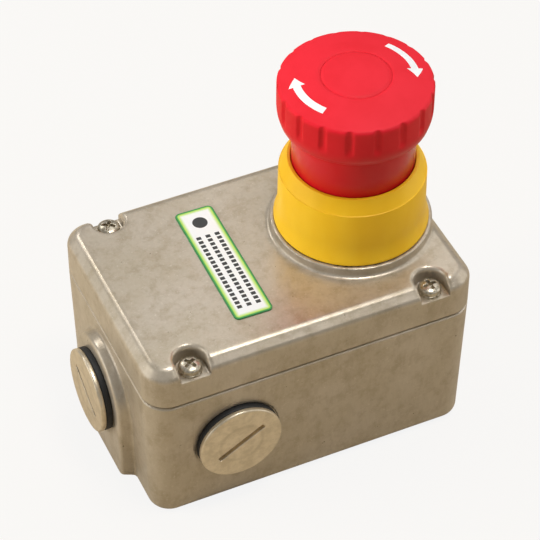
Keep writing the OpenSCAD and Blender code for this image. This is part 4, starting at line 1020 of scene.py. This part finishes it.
def make_stage():
    """The floor, just under the object. It shows white to the camera and keeps the object's shadow, and
    its own warm colour tints the light that it throws back."""
    below = 0.0002
    bpy.ops.mesh.primitive_plane_add(size=6, location=(0, 0, BODY_LOW[2] * MM - below))
    floor = bpy.context.object
    floor.name = "floor"
    look = bpy.data.materials.new("floor")
    look.use_nodes = True
    tree = look.node_tree
    tree.nodes.clear()
    out = tree.nodes.new("ShaderNodeOutputMaterial")
    mixed = tree.nodes.new("ShaderNodeMixShader")
    matt = tree.nodes.new("ShaderNodeBsdfDiffuse")
    matt.inputs["Color"].default_value = (0.57, 0.46, 0.295, 1)
    glow = tree.nodes.new("ShaderNodeEmission")
    glow.inputs["Color"].default_value = (1, 1, 1, 1)
    tree.links.new(ray_share(tree, 0.88, 0.12), mixed.inputs["Fac"])
    tree.links.new(matt.outputs[0], mixed.inputs[1])
    tree.links.new(glow.outputs[0], mixed.inputs[2])
    tree.links.new(mixed.outputs[0], out.inputs["Surface"])
    floor.data.materials.append(look)


def softbox(name, direction, distance, size, power, glossy=True):
    """A square soft lamp in a direction from the object, aimed at it; distances in metres. One that
    is not glossy doesn't show in reflections, so that polished faces don't glare with it."""
    data = bpy.data.lights.new(name, "AREA")
    data.size = size
    data.energy = power
    lamp = bpy.data.objects.new(name, data)
    lamp.visible_glossy = glossy
    middle = Vector((0.005, 0, 0.05))
    way = Vector(direction).normalized()
    aim = (-way).to_track_quat("-Z", "Y").to_matrix().to_4x4()
    lamp.matrix_world = Matrix.Translation(middle + way * distance) @ aim
    bpy.context.scene.collection.objects.link(lamp)


def make_light():
    """Soft light from the left, above and behind, and a white surround that shows in glossy things."""
    softbox("key", (-0.93, 0.25, 0.27), 0.9, 0.8, 2.6)
    softbox("key_soft", (-0.93, 0.25, 0.27), 0.9, 0.4, 4.8, glossy=False)
    softbox("top", (0.12, -0.17, 0.97), 0.9, 0.25, 3.5)
    softbox("back", (0.42, 0.42, 0.8), 1.0, 0.7, 1.65)
    softbox("edge", (-0.22, 0.74, 0.64), 1.0, 0.15, 1.1)
    softbox("front", (0.3, -0.705, 0.643), 1.2, 0.15, 0.42)
    softbox("right", (0.9, -0.2, 0.38), 1.0, 0.8, 2.2)
    world = bpy.data.worlds.new("surround")
    world.use_nodes = True
    tree = world.node_tree
    strength = tree.nodes.new("ShaderNodeMath")
    strength.operation = "ADD"
    strength.inputs[1].default_value = 0.18
    tree.links.new(ray_share(tree, 0.82, 0.17), strength.inputs[0])
    tree.nodes["Background"].inputs["Color"].default_value = (1, 1, 1, 1)
    tree.links.new(strength.outputs[0], tree.nodes["Background"].inputs["Strength"])
    bpy.context.scene.world = world


make_camera()
make_stage()
make_light()
bpy.context.scene.view_settings.view_transform = "Standard"

LOOKS = {slot: plain(slot, *values) for slot, values in PLAIN_LOOKS.items()}
LOOKS["cast_stainless"] = cast_metal()
LOOKS["plug_steel"] = turned_metal()
LOOKS["screw_steel"] = bright_steel()
LOOKS["black_rubber"] = plain("black_rubber", (0.012, 0.012, 0.012), 0.6)
LOOKS["red_plastic"] = red_plastic()
LOOKS["yellow_plastic"] = yellow_plastic()
LOOKS["label_film"] = plain("label_edge", (0.85, 0.85, 0.83), 0.4)
dress_cad(LOOKS)

make_body(LOOKS["cast_stainless"])
make_lid(LOOKS["cast_stainless"])
make_gasket(LOOKS["black_rubber"])
make_screws(LOOKS["screw_steel"])
make_plugs(LOOKS["plug_steel"], LOOKS["black_rubber"])
make_label()
make_collar(LOOKS["yellow_plastic"], LOOKS["black_rubber"])
make_head(LOOKS["red_plastic"])
make_arrows(plain("print_white", (0.95, 0.95, 0.94), 0.5, shade=0.93))
make_springs(LOOKS["spring_steel"])
